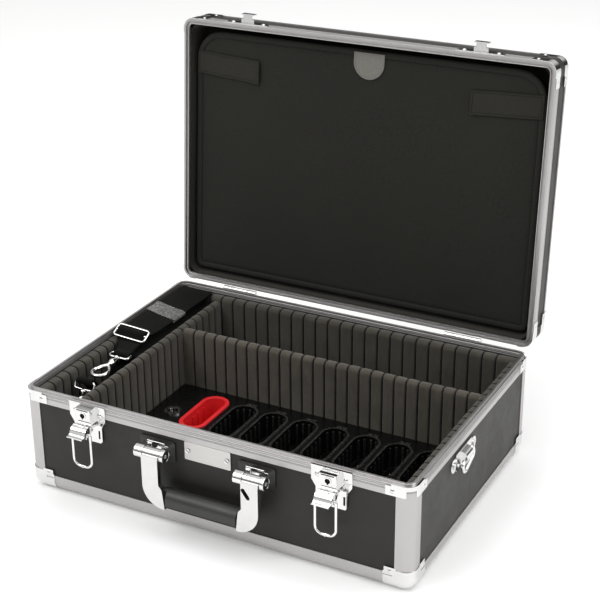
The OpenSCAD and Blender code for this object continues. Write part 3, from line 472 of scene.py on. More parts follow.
for name, width in {
    "latch_lever_left": 0.25, "latch_lever_right": 0.25,
    "handle_arms": 0.9, "handle_brackets": 0.7, "name_plate": 0.25, "ring_saddle_left": 0.5,
    "ring_saddle_right": 0.5, "lid_catches": 0.3, "hinge_base_leaves": 0.3, "hinge_lid_leaves": 0.3,
    "charging_tray": 0.35, "red_pocket_insert": 0.4, "handle_backing_plates": 0.3,
    "handle_grip": 2.2, "base_rim_frame": 0.35, "lid_rim_frame": 0.35,
}.items():
    soften(name, width)


# ---------------------------------------------------------------- mesh helpers (mm in, metres out)
def piece(name, verts, faces, mat, body="case_base", nodes=(), uv=None, matrix=None, smooth=True, sharp=None):
    me = bpy.data.meshes.new(name)
    if matrix is not None:
        verts = [matrix @ Vector(v) for v in verts]
    me.from_pydata([(v[0] / 1000, v[1] / 1000, v[2] / 1000) for v in verts], [], faces)
    me.update()
    bm = bmesh.new()
    bm.from_mesh(me)
    bmesh.ops.recalc_face_normals(bm, faces=bm.faces)
    bm.to_mesh(me)
    bm.free()
    for p in me.polygons:
        p.use_smooth = smooth
    if sharp:
        me.set_sharp_from_angle(angle=math.radians(sharp))
    if uv:
        layer = me.uv_layers.new(name="UVMap")
        for l in me.loops:
            layer.data[l.index].uv = uv[l.vertex_index]
    ob = bpy.data.objects.new(name, me)
    bpy.context.scene.collection.objects.link(ob)
    me.materials.append(mat)
    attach(ob, body)
    if nodes:
        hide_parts(*nodes)
    return ob


def loft(rings, closed=False):
    """Skin through rings of equal point count, capped at both ends unless it closes on itself."""
    n, k = len(rings[0]), len(rings)
    V = [tuple(p) for r in rings for p in r]
    F = []
    for i in range(k if closed else k - 1):
        for j in range(n):
            a, b = i * n + j, i * n + (j + 1) % n
            c, d = (i + 1) % k * n + (j + 1) % n, (i + 1) % k * n + j
            F.append((a, b, c, d))
    if not closed:
        F.append(tuple(range(n))[::-1])
        F.append(tuple(range((k - 1) * n, k * n)))
    return V, F


def join(parts):
    V, F = [], []
    for v, f in parts:
        o = len(V)
        V += v
        F += [tuple(i + o for i in q) for q in f]
    return V, F


def spline(pts, step, closed=False):
    """Smooth curve through the points (any number of values each), resampled evenly."""
    P = [np.array(p, float) for p in pts]
    n = len(P)
    out = []
    for i in range(n if closed else n - 1):
        if closed:
            p0, p1, p2, p3 = P[i - 1], P[i], P[(i + 1) % n], P[(i + 2) % n]
        else:
            p1, p2 = P[i], P[i + 1]
            p0 = P[i - 1] if i else 2 * p1 - p2
            p3 = P[i + 2] if i + 2 < n else 2 * p2 - p1
        t0 = 0.0
        t1 = t0 + max(np.linalg.norm((p1 - p0)[:3]), 1e-6) ** 0.5
        t2 = t1 + max(np.linalg.norm((p2 - p1)[:3]), 1e-6) ** 0.5
        t3 = t2 + max(np.linalg.norm((p3 - p2)[:3]), 1e-6) ** 0.5
        m = max(6, int(np.linalg.norm((p2 - p1)[:3]) / (step * 0.25)))
        for k in range(m):
            t = t1 + (t2 - t1) * k / m
            a1 = (t1 - t) / (t1 - t0) * p0 + (t - t0) / (t1 - t0) * p1
            a2 = (t2 - t) / (t2 - t1) * p1 + (t - t1) / (t2 - t1) * p2
            a3 = (t3 - t) / (t3 - t2) * p2 + (t - t2) / (t3 - t2) * p3
            b1 = (t2 - t) / (t2 - t0) * a1 + (t - t0) / (t2 - t0) * a2
            b2 = (t3 - t) / (t3 - t1) * a2 + (t - t1) / (t3 - t1) * a3
            out.append((t2 - t) / (t2 - t1) * b1 + (t - t1) / (t2 - t1) * b2)
    out.append(out[0] if closed else P[-1])
    out = np.array(out)
    d = np.r_[0, np.cumsum(np.linalg.norm(np.diff(out[:, :3], axis=0), axis=1))]
    m = max(2, int(round(d[-1] / step)))
    q = np.linspace(0, d[-1], m + 1)
    res = np.stack([np.interp(q, d, out[:, c]) for c in range(out.shape[1])], 1)
    return res[:-1] if closed else res


def tube(pts, radius, n=14, closed=False, step=1.2, up=(0, 0, 1), ready=False):
    """Round bar along a curve. radius is a number, or one per curve point as a 4th value."""
    c = np.array(pts, float) if ready else spline(pts, step, closed)
    k = len(c)
    rings = []
    up = Vector(up)
    for i in range(k):
        a = c[i - 1][:3] if (closed or i) else c[i][:3]
        b = c[(i + 1) % k][:3] if (closed or i < k - 1) else c[i][:3]
        t = Vector(b - a).normalized()
        s = t.cross(up)
        s = s.normalized() if s.length > 1e-4 else Vector((1, 0, 0))
        w = s.cross(t).normalized()
        r = c[i][3] if c.shape[1] > 3 else radius
        rings.append([Vector(c[i][:3]) + (s * math.cos(q) + w * math.sin(q)) * r for q in (2 * math.pi * j / n for j in range(n))])
    return loft(rings, closed)


def lathe(profile, axis_pt, n=24):
    """Solid of revolution about the local Y axis through axis_pt. profile: (y, radius)."""
    rings = [[(axis_pt[0] + r * math.cos(q), y, axis_pt[2] + r * math.sin(q)) for q in (2 * math.pi * j / n for j in range(n))] for y, r in profile]
    return loft(rings)


def nz(x, y, z, seed=0.0):
    return noise.noise(Vector((x + seed * 7.31, y - seed * 3.7, z + seed)))


# ---------------------------------------------------------------- slotted foam
def inset_at(d, depth=4.2, half=1.1, r=1.15):
    d = abs(d)
    if d <= half - 0.08:
        return depth
    if d <= half:
        return r + (depth - r) * (half - d) / 0.08
    if d >= half + r:
        return 0.0
    u = r - (d - half)
    return r - math.sqrt(max(r * r - u * u, 0))


def stations(lo, hi, centres):
    offs = (0, 0.55, 1.02, 1.1, 1.18, 1.32, 1.55, 1.85, 2.25)
    s = {round(lo, 3), round(hi, 3)}
    for c in centres:
        for o in offs:
            for q in (-o, o):
                if lo < c + q < hi:
                    s.add(round(c + q, 3))
    edges = [lo] + list(centres) + [hi]
    for a, b in zip(edges, edges[1:]):
        for f in (0.3, 0.4, 0.5, 0.6, 0.7):
            s.add(round(a + (b - a) * f, 3))
    s = sorted(s)
    out = [s[0]]
    for v in s[1:]:
        if v - out[-1] > 0.05:
            out.append(v)
    return out


def rib_crown(u, centres, lo, hi):
    """0 at a slot, 1 in the middle of a rib, with the rib's number."""
    e = [lo] + list(centres) + [hi]
    for i in range(len(e) - 1):
        if u <= e[i + 1]:
            f = (u - e[i]) / max(e[i + 1] - e[i], 1e-6)
            return math.sin(math.pi * min(max(f, 0), 1)), i
    return 0.0, len(e)


def foam_wall(name, node, place, lo, hi, centres, seed):
    """A lining board: place(u, n, z) gives the point n mm in from its outer face."""
    rings, uv = [], []
    for u in stations(lo, hi, centres):
        d = min((abs(u - c) for c in centres), default=9)
        cr, k = rib_crown(u, centres, lo, hi)
        t = LINER_T - inset_at(d) - 0.25 + 0.25 * cr
        zt = LIN_TOP - 0.35 + 0.3 * nz(k * 3.3, seed, 0) + 0.25 * cr - 0.12 * inset_at(d)
        r = 4.6
        sec = [(0, LIN_BOT + 0.05), (0, 60), (0, zt - 1.6), (0.5, zt - 0.5), (1.7, zt), ((t - r) * 0.6 + 0.5, zt + 0.1)]
        for j in range(7):
            q = math.pi / 2 * (1 - j / 6)
            sec.append((t - r + r * math.cos(q), zt - r + r * math.sin(q)))
        for z in (108, 102, 95, 88, 80, 71, 62, 52, 41, 30, 20, LIN_BOT + 1.2):
            sec.append((t + 0.3 * nz(u * 0.02, z * 0.03, seed), z))
        sec.append((t - 0.8, LIN_BOT + 0.05))
        rings.append([place(u, n, z) for n, z in sec])
        uv += [(u / 1000, inset_at(d) / 1000)] * len(sec)
    V, F = loft(rings)
    ob = piece(name, V, F, M["foam"], nodes=(node,), uv=uv, sharp=38)
    return ob


def foam_divider(name, node, place, lo, hi, centres, seed):
    """An upright board with a rounded top, slotted on both faces and over the top."""
    rings, uv = [], []
    for u in stations(lo, hi, centres):
        d = min((abs(u - c) for c in centres), default=9)
        s = inset_at(d, depth=4.0)
        cr, k = rib_crown(u, centres, lo, hi)
        h = DIV_T / 2 - 0.25 + 0.25 * cr - s
        zt = DIV_TOP - 0.4 + 0.35 * nz(k * 2.7, seed, 5) + 0.3 * cr - 0.75 * s
        lean = 0.5 * nz(u * 0.012, seed, 2)
        sec = []
        zs = (LIN_BOT + 0.05, 20, 34, 48, 62, 76, 88, 98)
        for z in zs:
            sec.append((-h, z))
        r = min(h, 5.6)
        for j in range(11):
            q = math.pi * (1 - j / 10)
            sec.append((h * math.cos(q), zt - r + r * math.sin(q) ** 0.85 if math.sin(q) > 0 else zt - r))
        for z in reversed(zs):
            sec.append((h, z))
        rings.append([place(u, n + (lean + 0.22 * nz(u * 0.03, z * 0.03, seed + 3)) * max(0, (z - 20) / 93), z) for n, z in sec])
        uv += [(u / 1000, s / 1000)] * len(sec)
    V, F = loft(rings)
    ob = piece(name, V, F, M["foam_painted_lighter" if "cross" in name else "foam"], nodes=(node,), uv=uv, sharp=38)
    return ob


LIN_O = 5.2
RPX, RPY = 2 * COMP_X / 26, 2 * COMP_Y / 20
cx = [-COMP_X + i * RPX for i in range(1, 26)]
cy = [-COMP_Y + i * RPY for i in range(1, 20)]
foam_wall("foam_front", "liner_front", lambda u, n, z: (u, -(D - LIN_O) + n, z), -(W - LIN_O), W - LIN_O, cx, 1)
foam_wall("foam_back", "liner_back", lambda u, n, z: (u, (D - LIN_O) - n, z), -(W - LIN_O), W - LIN_O, cx, 2)
foam_wall("foam_left", "liner_left", lambda u, n, z: (-(W - LIN_O) + n, u, z), -COMP_Y + 0.1, COMP_Y - 0.1, cy, 3)
foam_wall("foam_right", "liner_right", lambda u, n, z: ((W - LIN_O) - n, u, z), -COMP_Y + 0.1, COMP_Y - 0.1, cy, 4)
foam_divider("foam_divider_long", "divider_long", lambda u, n, z: (LONG_X + n, u, z), -COMP_Y + 0.4, COMP_Y - 0.4, cy, 5)
X1, X2 = LONG_X + DIV_T / 2 + 0.2, COMP_X - 0.3
cc = [X1 + i * (COMP_X - 0.2 - X1) / 26 for i in range(1, 26)]
foam_divider("foam_divider_cross", "divider_cross", lambda u, n, z: (u, CROSS_Y + n, z), X1, X2, cc, 6)


def make_floor_mat():
    hx, hy, z0, z1 = W - 5.5, D - 5.5, 5.95, 9.0
    V, F = [], []
    nx, ny = 60, 44
    for j in range(ny + 1):
        for i in range(nx + 1):
            x, y = -hx + 2 * hx * i / nx, -hy + 2 * hy * j / ny
            e = min(hx - abs(x), hy - abs(y))
            V.append((x, y, z1 - 0.05 + 0.1 * nz(x * 0.03, y * 0.03, 9) - (0.5 if e < 0.01 else 0)))
    for j in range(ny):
        for i in range(nx):
            a = j * (nx + 1) + i
            F.append((a, a + 1, a + nx + 2, a + nx + 1))
    rim = [i for i in range(nx + 1)] + [(j + 1) * (nx + 1) - 1 for j in range(1, ny + 1)] + [ny * (nx + 1) + i for i in range(nx - 1, -1, -1)] + [j * (nx + 1) for j in range(ny - 1, 0, -1)]
    o = len(V)
    for r in rim:
        V.append((V[r][0], V[r][1], z0))
    n = len(rim)
    for k in range(n):
        F.append((rim[k], rim[(k + 1) % n], o + (k + 1) % n, o + k))
    F.append(tuple(range(o, o + n)))
    ob = piece("foam_floor", V, F, M["foam"], nodes=("floor_mat",), sharp=30)


make_floor_mat()


# ---------------------------------------------------------------- shoulder strap, stowed in the narrow bay
def make_strap():
    cxs = STRAP_CX
    # (y, z, x of the middle, width, thickness)
    run = [
        (5.5, 118.9, cxs - 6, 30, 1.6), (-5, 116.4, cxs - 4, 27, 1.6), (-14, 113.4, cxs - 1, 23, 1.7), (-22, 110.6, cxs + 1, 21, 1.8),
        (-27.4, 109.0, cxs + 1, 20.5, 1.8), (-30.8, 109.9, cxs + 1, 20.5, 1.8), (-31.6, 112.0, cxs + 1, 20.5, 1.8), (-29.6, 113.9, cxs + 1, 20.5, 1.8),
        (-24, 113.6, cxs + 1, 21, 1.8), (-16, 115.2, cxs - 1, 24, 1.7), (-10, 116.4, cxs - 3, 29, 1.6), (-5.0, 117.4, cxs - 5, 33, 1.6),
        (-1.6, 120.6, cxs - 6, 35.5, 1.6), (1.0, 125.9, cxs - 6, 36, 1.6), (4.2, 127.4, cxs - 6, 36, 1.6), (7.4, 125.4, cxs - 6, 36, 1.6),
        (12, 123.2, cxs - 6, 37, 1.6, 0.14), (18, 121.8, cxs - 6, 37, 1.6, 0.17), (28, 121.0, cxs - 5.8, 37.5, 1.6, 0.18), (45, 120.6, cxs - 5.6, 37.5, 1.6, 0.18),
        (64, 120.5, cxs - 5.5, 37.5, 1.6, 0.18), (86, 120.5, cxs - 5.5, 37.5, 1.6, 0.18), (110, 120.8, cxs - 5.4, 37.8, 1.6, 0.18), (128, 121.2, cxs - 4.6, 38.4, 1.6, 0.17),
        (140, 121.4, cxs - 4.0, 38.8, 1.6, 0.13), (146, 121.2, cxs - 3.8, 38.8, 1.6, 0.1), (149.2, 120.4, cxs - 3.6, 38.6, 1.6, 0.07), (149.6, 119.0, cxs - 3.4, 38, 1.6, 0.05),
        (147.2, 118.1, cxs - 3, 37.4, 1.6, 0.03), (142.2, 117.4, cxs - 2, 36.6, 1.6), (138.4, 115.0, cxs - 1, 36, 1.6), (137.0, 111.2, cxs, 35.5, 1.6), (134, 107.8, cxs, 35, 1.6),
    ]
    run = [r if len(r) == 6 else r + (0.06 if -6 < r[0] < 8 and r[1] > 117 else 0.0,) for r in run]
    z, fwd = 107.0, True
    ends = ((-17, 107.0), (132, 97.6), (-23, 88.4), (130, 78.6), (-30, 68.8))
    y0 = 128.0
    for k, (ye, zk) in enumerate(ends[:-1]):
        for f in (0.12, 0.35, 0.6, 0.85):
            y = y0 + (ye - y0) * f
            run.append((y, zk + 0.8 * nz(y * 0.02, k * 3.1, 1), cxs + 0.6 * nz(y * 0.01, k * 2.0, 4), 34.2, 1.6))
        s = -1 if ye < 0 else 1
        zn = ends[k + 1][1]
        run.append((ye + s * 3.4, zk - 1.4, cxs, 34.2, 1.6))
        run.append((ye + s * 5.0, (zk + zn) / 2, cxs, 34.2, 1.6))
        run.append((ye + s * 3.4, zn + 1.4, cxs, 34.2, 1.6))
        y0 = ye
    for y, z in ((110, 69.6), (60, 69), (10, 68.6), (-36, 69.6), (-58, 74.6), (-72, 84), (-82, 94.5), (-90, 103.2), (-95.4, 109.8)):
        run.append((y, z, cxs - 1, 34 if y > -60 else (28 if y > -85 else 21), 1.7))
    run += [(-98.2, 112.1, cxs - 1, 20.5, 1.8), (-101.4, 111.2, cxs - 1, 20.5, 1.8), (-102.3, 108.0, cxs - 1, 20.5, 1.8), (-99.6, 105.6, cxs - 1, 20.5, 1.8),
            (-94.0, 103.6, cxs - 1, 21, 1.8), (-87.4, 97.4, cxs - 1, 25, 1.7), (-80, 88.8, cxs - 1, 28, 1.6)]
    c = spline([(r[2], r[0], r[1], r[3], r[4], r[5] if len(r) > 5 else 0.0) for r in run], 2.2)
    rings, uv = [], []
    length = 0.0
    for i in range(len(c)):
        a, b = c[max(i - 1, 0)], c[min(i + 1, len(c) - 1)]
        T = Vector((0, b[1] - a[1], b[2] - a[2])).normalized()
        Nn = Vector((0, -T.z, T.y))
        if i:
            length += float(np.linalg.norm((c[i] - c[i - 1])[:3]))
        w, t = c[i][3] / 2, c[i][4] / 2
        mid = Vector(c[i][:3])
        # the top run lies tilted, its outer edge raised by the side lining
        across = Vector((1, 0, -c[i][5]))
        across = (across - T * across.dot(T)).normalized()
        Nn = across.cross(T) if across.cross(T).dot(Nn) > 0 else T.cross(across)
        crown = 0.35 * nz(length * 0.03, 0, 3)
        ring = []
        row = [(-1, 0.0), (-0.985, 0.72), (-0.93, 1.0), (-0.5, 1.0), (0, 1.0), (0.5, 1.0), (0.93, 1.0), (0.985, 0.72), (1, 0.0),
               (0.985, -0.72), (0.93, -1.0), (0.5, -1.0), (0, -1.0), (-0.5, -1.0), (-0.93, -1.0), (-0.985, -0.72)]
        for p, q in row:
            lift = crown * (1 - p * p) + 0.18 * nz(length * 0.05, p * 1.7, 8)
            ring.append(mid + across * (p * w) + Nn * (q * t + lift))
            uv.append((length / 1000, p * w / 1000))
        rings.append(ring)
    V, F = loft(rings)
    ob = piece("shoulder_strap_webbing", V, F, M["webbing"], nodes=("shoulder_strap",), uv=uv, sharp=60)
    return length


STRAP_LEN = make_strap()


def make_slide():
    mt = Matrix.Translation((STRAP_CX - 5.6, 1.5, 124.0)) @ Matrix.Rotation(math.radians(3.4), 4, "Y") @ Matrix.Rotation(math.radians(27), 4, "X")

    def rr(hx, hy, r, n=7):
        pts = []
        for sx, sy, a0 in ((1, 1, 0), (-1, 1, 90), (-1, -1, 180), (1, -1, 270)):
            for k in range(n):
                a = math.radians(a0 + 90 * k / (n - 1))
                pts.append((sx * (hx - r) + r * math.cos(a), sy * (hy - r) + r * math.sin(a), 0))
        return pts
    frame_pts = rr(20.6, 8.1, 3.0)
    V, F = join([tube(frame_pts, 1.35, 14, closed=True, step=1.0),
                 tube([(-20.2, 0, 0), (-8, 0, 0.1), (8, 0, 0.1), (20.2, 0, 0)], 1.2, 12, step=2.0)])
    piece("slide_buckle", V, F, M["wire"], nodes=("strap_slide_buckle",), matrix=mt, sharp=60)


make_slide()


def make_hook(name, node, mt):
    def rr(hx, hy, r, y0, n=6):
        pts = []
        for sx, sy, a0 in ((1, 1, 0), (-1, 1, 90), (-1, -1, 180), (1, -1, 270)):
            for k in range(n):
                a = math.radians(a0 + 90 * k / (n - 1))
                pts.append((sx * (hx - r) + r * math.cos(a), y0 + sy * (hy - r) + r * math.sin(a), 1.5))
        return pts
    eye = tube(rr(12.6, 4.6, 3.2, 0), 1.35, 14, closed=True, step=0.9)
    post = lathe([(-3.6, 1.2), (-5.0, 3.0), (-6.2, 3.7), (-7.6, 3.9), (-8.4, 3.2), (-9.0, 2.3), (-12.2, 2.2), (-12.8, 3.4), (-13.6, 4.2), (-17.6, 4.2), (-18.8, 3.8), (-20.0, 3.1), (-22.5, 2.7), (-26.0, 2.3)], (0, 0, 1.5), 26)
    # curved hook with a thickened nose
    R, cyy = 9.0, -41.0
    pts = [(0, -22.5, 1.5, 2.6), (-1.6, -26.5, 1.5, 2.5), (-5.4, -31.0, 1.5, 2.4)]
    for k in range(0, 13):
        a = math.radians(140 + (360 - 140) * k / 12)
        pts.append((R * math.cos(a), cyy + R * math.sin(a), 1.5, 2.3 - 0.1 * (k / 12)))
    pts += [(9.2, -38.0, 1.5, 2.1), (9.0, -36.2, 1.5, 1.6), (8.8, -35.2, 1.5, 0.5)]
    hook = tube(pts, 2.3, 16, step=0.8)
    gate = tube([(1.6, -25.0, 1.5, 1.4), (3.4, -27.5, 1.5, 1.75), (6.2, -31.2, 1.5, 1.7), (8.4, -34.6, 1.5, 1.55), (9.4, -37.4, 1.5, 1.2)], 1.6, 14, step=0.8)
    thumb = tube([(4.4, -29.8, 2.6, 0.5), (5.0, -30.2, 3.6, 1.15), (5.4, -30.5, 4.4, 1.0), (5.6, -30.7, 4.9, 0.4)], 1.0, 10, step=0.4, up=(1, 0, 0))
    V, F = join([eye, post, hook, gate, thumb])
    piece(name, V, F, M["wire"], nodes=(node,), matrix=mt, sharp=50)


make_hook("snap_hook_a", "snap_hook_upper", Matrix.Translation((STRAP_CX + 1, -33, 110)) @ Matrix.Rotation(math.radians(3), 4, "X"))
make_hook("snap_hook_b", "snap_hook_lower", Matrix.Translation((STRAP_CX - 1, -100, 104)) @ Matrix.Rotation(math.radians(62), 4, "X"))


def make_keeper():
    """Clear band round the top run of the strap, tilted with it."""
    hx, cxk, zk, slope = 19.7, STRAP_CX - 5.5, 120.5, 0.18
    rings = []
    for i in range(16):
        y = 62.5 + 26 * i / 15
        curl = 0.5 * (abs(i - 7.5) / 7.5) ** 3
        ring = []
        for k in range(44):
            a = 2 * math.pi * k / 44
            px = max(-1, min(1, 1.12 * math.cos(a)))
            pz = math.copysign(abs(math.sin(a)) ** 0.5, math.sin(a))
            x = hx * px
            lift = (curl + 0.35 * nz(px * 2.2, y * 0.16, 6) + 0.25 * nz(px * 5, y * 0.4, 9)) if pz > 0 else 0
            ring.append((cxk + x, y + 0.5 * math.sin(3 * a), zk - slope * x + 1.75 * pz + lift))
        rings.append(ring)
    inner = [[(cxk + (q[0] - cxk) * 0.985, q[1], zk - slope * (q[0] - cxk) + (q[2] - zk + slope * (q[0] - cxk)) * 0.78) for q in r] for r in rings]
    V, F = loft(rings + inner[::-1], closed=True)
    piece("strap_keeper", V, F, M["clear"], sharp=60)


make_keeper()


# ---------------------------------------------------------------- lid: organiser panel, flaps, tab, lining (closed coordinates)
PZ = LID_Z + 12.6


def outline(x0, x1, y0, y1, rf, rb, i=0.0, nl=30, ns=22, nc=9):
    """Rounded outline inset by i, front corners rf (low y), back corners rb, always the same number of points."""
    x0, x1, y0, y1 = x0 + i, x1 - i, y0 + i, y1 - i
    rf, rb = max(rf - i, 0.6), max(rb - i, 0.6)
    m = min((x1 - x0), (y1 - y0)) / 2 - 0.05
    rf, rb = min(rf, m), min(rb, m)
    P = []

    def side(a, b, n):
        for k in range(n):
            f = k / n
            P.append((a[0] + (b[0] - a[0]) * f, a[1] + (b[1] - a[1]) * f))

    def arc(cx_, cy_, r, a0):
        for k in range(nc):
            a = math.radians(a0 + 90 * k / nc)
            P.append((cx_ + r * math.cos(a), cy_ + r * math.sin(a)))
    side((x0 + rf, y0), (x1 - rf, y0), nl)
    arc(x1 - rf, y0 + rf, rf, -90)
    side((x1, y0 + rf), (x1, y1 - rb), ns)
    arc(x1 - rb, y1 - rb, rb, 0)
    side((x1 - rb, y1), (x0 + rb, y1), nl)
    arc(x0 + rb, y1 - rb, rb, 90)
    side((x0, y1 - rb), (x0, y0 + rf), ns)
    arc(x0 + rf, y0 + rf, rf, 180)
    return P


def make_panel():
    """The visible face looks down when the lid is closed: height n is measured that way."""
    steps = [(0.5, -3.3), (0.0, -2.6), (0.0, -1.2), (0.3, -0.4), (1.1, 0.15), (2.4, 0.6), (4.0, 0.7), (5.6, 0.45), (6.6, -0.3), (7.3, -1.15), (8.1, -0.6), (9.6, -0.1),
             (13, 0.0), (20, 0.05), (30, 0.1), (42, 0.2), (56, 0.3), (72, 0.4), (90, 0.45), (108, 0.5), (126, 0.5), (140, 0.5), (146.5, 0.5)]
    rings = []
    for i, n in steps:
        ring = []
        for x, y in outline(-219, 219, -148, 150, 34, 9, i):
            wave = 0.55 * nz(x * 0.011, y * 0.011, 1.5) + 0.22 * nz(x * 0.035, y * 0.035, 4.5)
            if i < 9.5:
                wave *= 0.5
                wave += 0.12 * nz(x * 0.12, y * 0.12, 2.2)
            if n < -2:
                wave = 0
            ring.append((x, y, PZ - (n + wave - 0.35)))
        rings.append(ring)
    V, F = loft(rings)
    ob = piece("organiser_pad", V, F, M["cloth"], body="lid", nodes=("organiser_panel",), matrix=LID, sharp=50)


make_panel()


def stitches(path, height, size=(3.0, 0.55, 0.35), gap=1.5, closed=False):
    """Rows of thread along a path of (x, y); height(x, y) is the surface, n is towards the viewer."""
    c = spline([(x, y, 0) for x, y in path], 0.8, closed)
    d = np.r_[0, np.cumsum(np.linalg.norm(np.diff(c, axis=0), axis=1))]
    out = []
    s = gap
    while s + size[0] < d[-1]:
        rings = []
        for f, k in ((0, 0.35), (0.12, 0.8), (0.35, 1.0), (0.65, 1.0), (0.88, 0.8), (1, 0.35)):
            q = s + size[0] * f
            x, y = np.interp(q, d, c[:, 0]), np.interp(q, d, c[:, 1])
            x2, y2 = np.interp(min(q + 0.3, d[-1]), d, c[:, 0]), np.interp(min(q + 0.3, d[-1]), d, c[:, 1])
            x1, y1 = np.interp(max(q - 0.3, 0), d, c[:, 0]), np.interp(max(q - 0.3, 0), d, c[:, 1])
            t = Vector((x2 - x1, y2 - y1, 0)).normalized()
            side = Vector((-t.y, t.x, 0))
            h = height(x, y)
            lift = 0.28 * math.sin(math.pi * f)
            rings.append([Vector((x, y, 0)) + side * (size[1] * k * math.cos(a)) + Vector((0, 0, -1)) * (h + lift + size[2] * k * math.sin(a)) for a in (2 * math.pi * j / 6 for j in range(6))])
        out.append(loft(rings))
        s += size[0] + gap
    V, F = join(out)
    return [(v[0], v[1], v[2]) for v in V], F


def make_stitching():
    ring = outline(-219, 219, -148, 150, 34, 9, 7.3, 20, 14, 9)
    V, F = stitches(ring + [ring[0]], lambda x, y: -1.2, (3.2, 0.55, 0.34), 1.4)
    V = [(x, y, z + PZ) for x, y, z in V]
    piece("organiser_stitching", V, F, M["thread"], body="lid", matrix=LID)


make_stitching()


def slab(outline_fn, insets, top, bottom, bend):
    """Thin cut piece of cloth: rings inset from its outline on the top, then back over the underside."""
    rings = []
    for i, dn in insets:
        rings.append([(x, y, PZ - (bend(x, y) + top + dn)) for x, y in outline_fn(i)])
    under = []
    for i, _ in insets[1:]:
        under.append([(x, y, PZ - (bend(x, y) + bottom)) for x, y in outline_fn(i)])
    return loft(under[::-1] + rings)


def make_flap(side):
    """Cloth flap sewn under the binding at the edge of the panel, its free end inwards."""
    L = 84.0

    def outl(i):
        P = []
        for x, y in outline(0, L, -13.2, 13.2, 2.2, 2.2, i, 26, 9, 5):
            f = min(max(x / L, 0), 1)
            yy = y * (1 + 0.03 * f) - 110.3 + 4.6 * f
            P.append((side * (217.0 - x), yy))
        return P

    def bend(x, y):
        f = (217.0 - abs(x)) / L
        return 0.25 + 0.9 * math.sin(math.pi * min(f, 1)) * 0.5 + 2.3 * (max(0, f - 0.66) / 0.34) ** 2 + 0.25 * nz(x * 0.06, y * 0.09, 3 + side)
    V, F = slab(outl, [(0.0, -0.75), (0.0, -0.4), (0.3, 0.1), (0.9, 0.34), (1.6, 0.2), (2.2, -0.42), (2.9, -0.05), (4.0, 0.1), (6.5, 0.05), (9.0, 0.0), (11.5, 0.0), (12.8, 0.0)], 1.35, 0.15, bend)
    nm = "left" if side < 0 else "right"
    ob = piece("panel_flap_" + nm, V, F, M["flap"], body="lid", nodes=("panel_flaps_and_tab",), matrix=LID, sharp=60)
    ring = outl(2.2)
    V, F = stitches(ring + [ring[0]], lambda x, y: bend(x, y) + 0.95, (2.4, 0.36, 0.26), 1.1)
    V = [(x, y, z + PZ) for x, y, z in V]
    piece("flap_stitching_" + nm, V, F, M["thread"], body="lid", matrix=LID)


make_flap(-1)
make_flap(1)


def make_tab():
    def outl(i):
        P = []
        r = 19.0 - i
        n = 34
        # rounded edge towards the middle of the panel
        for k in range(n + 1):
            a = math.radians(0 + 180 * k / n)
            P.append((7.7 + r * math.cos(a), -134.2 + r * math.sin(a)))
        for k in range(1, 8):
            P.append((7.7 - r, -134.2 - (11.3 - i) * k / 8))
        rr = 1.2
        for k in range(20):
            P.append((7.7 - r + 2 * r * k / 20, -145.5 + i))
        for k in range(8):
            P.append((7.7 + r, -145.5 + i + (11.3 - i) * k / 8))
        return P

    def bend(x, y):
        return 0.15 + 0.35 * math.sin(math.pi * (y + 145.5) / 30.3) + 0.9 * max(0, (y + 122) / 7) ** 2 * 0.5 + 0.15 * nz(x * 0.1, y * 0.1, 7)
    V, F = slab(outl, [(0.0, -0.8), (0.0, -0.4), (0.3, -0.06), (1.0, 0.06), (1.7, 0.0), (2.2, -0.2), (2.8, 0.02), (4.5, 0.05), (7.5, 0.1), (10.0, 0.1)], 1.5, 0.1, bend)
    ob = piece("panel_tab", V, F, M["tab"], body="lid", matrix=LID, sharp=60)
    ring = outl(2.2)
    V, F = stitches(ring[:42] + ring[42:62], lambda x, y: bend(x, y) + 1.3, (2.0, 0.3, 0.22), 1.0)
    V = [(x, y, z + PZ) for x, y, z in V]
    piece("tab_stitching", V, F, M["thread_grey"], body="lid", matrix=LID)


make_tab()


def make_lining():
    hx, hy = W - 5.2, D - 5.2
    za, zb = LID_Z + 4.9, LID_TOP - 5.3
    prof_in = [(2.0, za + 0.3), (2.1, za + 2), (2.0, za + 10), (2.0, za + 20), (2.0, zb - 9), (2.6, zb - 5.5), (4.4, zb - 3.2), (7.5, zb - 2.1), (14, zb - 2.0), (60, zb - 2.0), (120, zb - 2.0), (150, zb - 2.0)]
    prof_out = [(0.1, za), (0.1, za + 10), (0.1, za + 20), (0.1, zb - 6), (1.0, zb - 2.4), (4.0, zb - 0.3), (14, zb - 0.1), (60, zb - 0.1), (120, zb - 0.1), (150, zb - 0.1)]
    rings = []
    for i, z in prof_out[::-1]:
        rings.append([(x, y, z) for x, y in outline(-hx, hx, -hy, hy, 15, 15, i)])
    for i, z in prof_in:
        w = 0.0 if z > zb - 12 else 0.25
        rings.append([(x * (1 - 0.0012 * w * (1 + nz(x * 0.03, y * 0.03, z * 0.05))), y * (1 - 0.0015 * w * (1 + nz(x * 0.03, y * 0.03, z * 0.05))), z) for x, y in outline(-hx, hx, -hy, hy, 15, 15, i)])
    V, F = loft(rings)
    ob = piece("lid_lining_cloth", V, F, M["lining"], body="lid", nodes=("lid_lining",), matrix=LID, sharp=50)


make_lining()


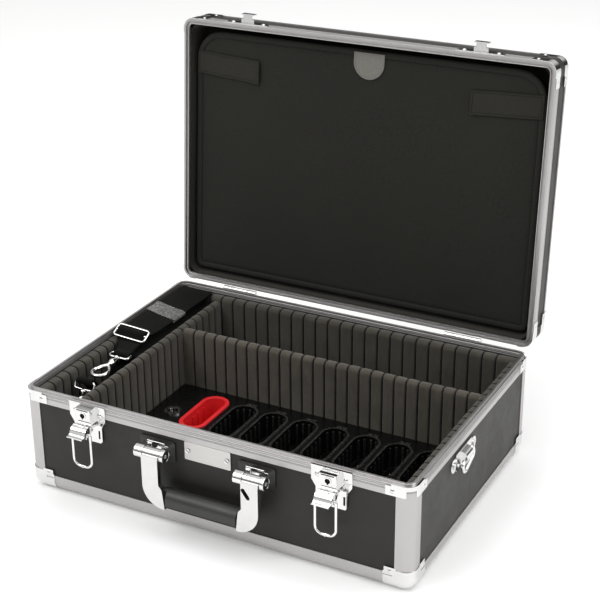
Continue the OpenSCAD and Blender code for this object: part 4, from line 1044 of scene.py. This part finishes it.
# ---------------------------------------------------------------- stage
def make_stage():
    s = bpy.context.scene
    floor_mesh = bpy.data.meshes.new("floor")
    bm = bmesh.new()
    bmesh.ops.create_grid(bm, x_segments=1, y_segments=1, size=9)
    bm.to_mesh(floor_mesh)
    bm.free()
    floor = bpy.data.objects.new("floor", floor_mesh)
    s.collection.objects.link(floor)
    floor.location = (0, 0, -0.0002)
    fm = Mat("floor_white", Roughness=0.85)
    fm.p.inputs["Specular IOR Level"].default_value = 0.2
    fm.set("Base Color", fm.mix(fm.noise(2, 2), (0.93, 0.93, 0.93), (0.945, 0.945, 0.945)))
    fm.p.inputs["Emission Color"].default_value = (1, 1, 1, 1)
    fm.p.inputs["Emission Strength"].default_value = 0.10
    floor_mesh.materials.append(fm.m)

    world = bpy.data.worlds.new("studio")
    s.world = world
    world.use_nodes = True
    nt = world.node_tree
    bg = nt.nodes["Background"]
    tc = nt.nodes.new("ShaderNodeTexCoord")
    sep = nt.nodes.new("ShaderNodeSeparateXYZ")
    ramp = nt.nodes.new("ShaderNodeValToRGB")
    nt.links.new(tc.outputs["Generated"], sep.inputs[0])
    nt.links.new(sep.outputs[2], ramp.inputs[0])
    nt.links.new(ramp.outputs[0], bg.inputs[0])
    e = ramp.color_ramp.elements
    stops = ((0.0, 0.05), (0.05, 0.04), (0.16, 0.05), (0.26, 0.75), (0.42, 0.95), (0.5, 0.35), (0.58, 0.35), (0.7, 1.0), (1.0, 1.0))
    while len(e) > 1:
        e.remove(e[-1])
    for k, (p, v) in enumerate(stops):
        el = e[0] if k == 0 else e.new(p)
        el.position = p
        el.color = (v, v, v * 0.995, 1)
    bg.inputs[1].default_value = 0.85

    def area(name, loc, target, size, power, size_y=None):
        l = bpy.data.lights.new(name, "AREA")
        l.shape = "RECTANGLE"
        l.size, l.size_y = size, size_y or size
        l.energy = power
        ob = bpy.data.objects.new(name, l)
        s.collection.objects.link(ob)
        ob.location = loc
        ob.rotation_euler = (Vector(target) - Vector(loc)).to_track_quat("-Z", "Y").to_euler()
        return ob

    area("key", (-1.1, -1.6, 2.3), (0, 0, 0.1), 1.8, 34)
    area("right", (2.4, 0.3, 1.3), (0, 0, 0.1), 1.6, 22)
    area("top", (0.2, 0.5, 2.6), (0, 0, 0.1), 2.2, 22)

    s.view_settings.view_transform = "Standard"
    s.view_settings.look = "None"
    s.view_settings.exposure = 0.0


make_stage()
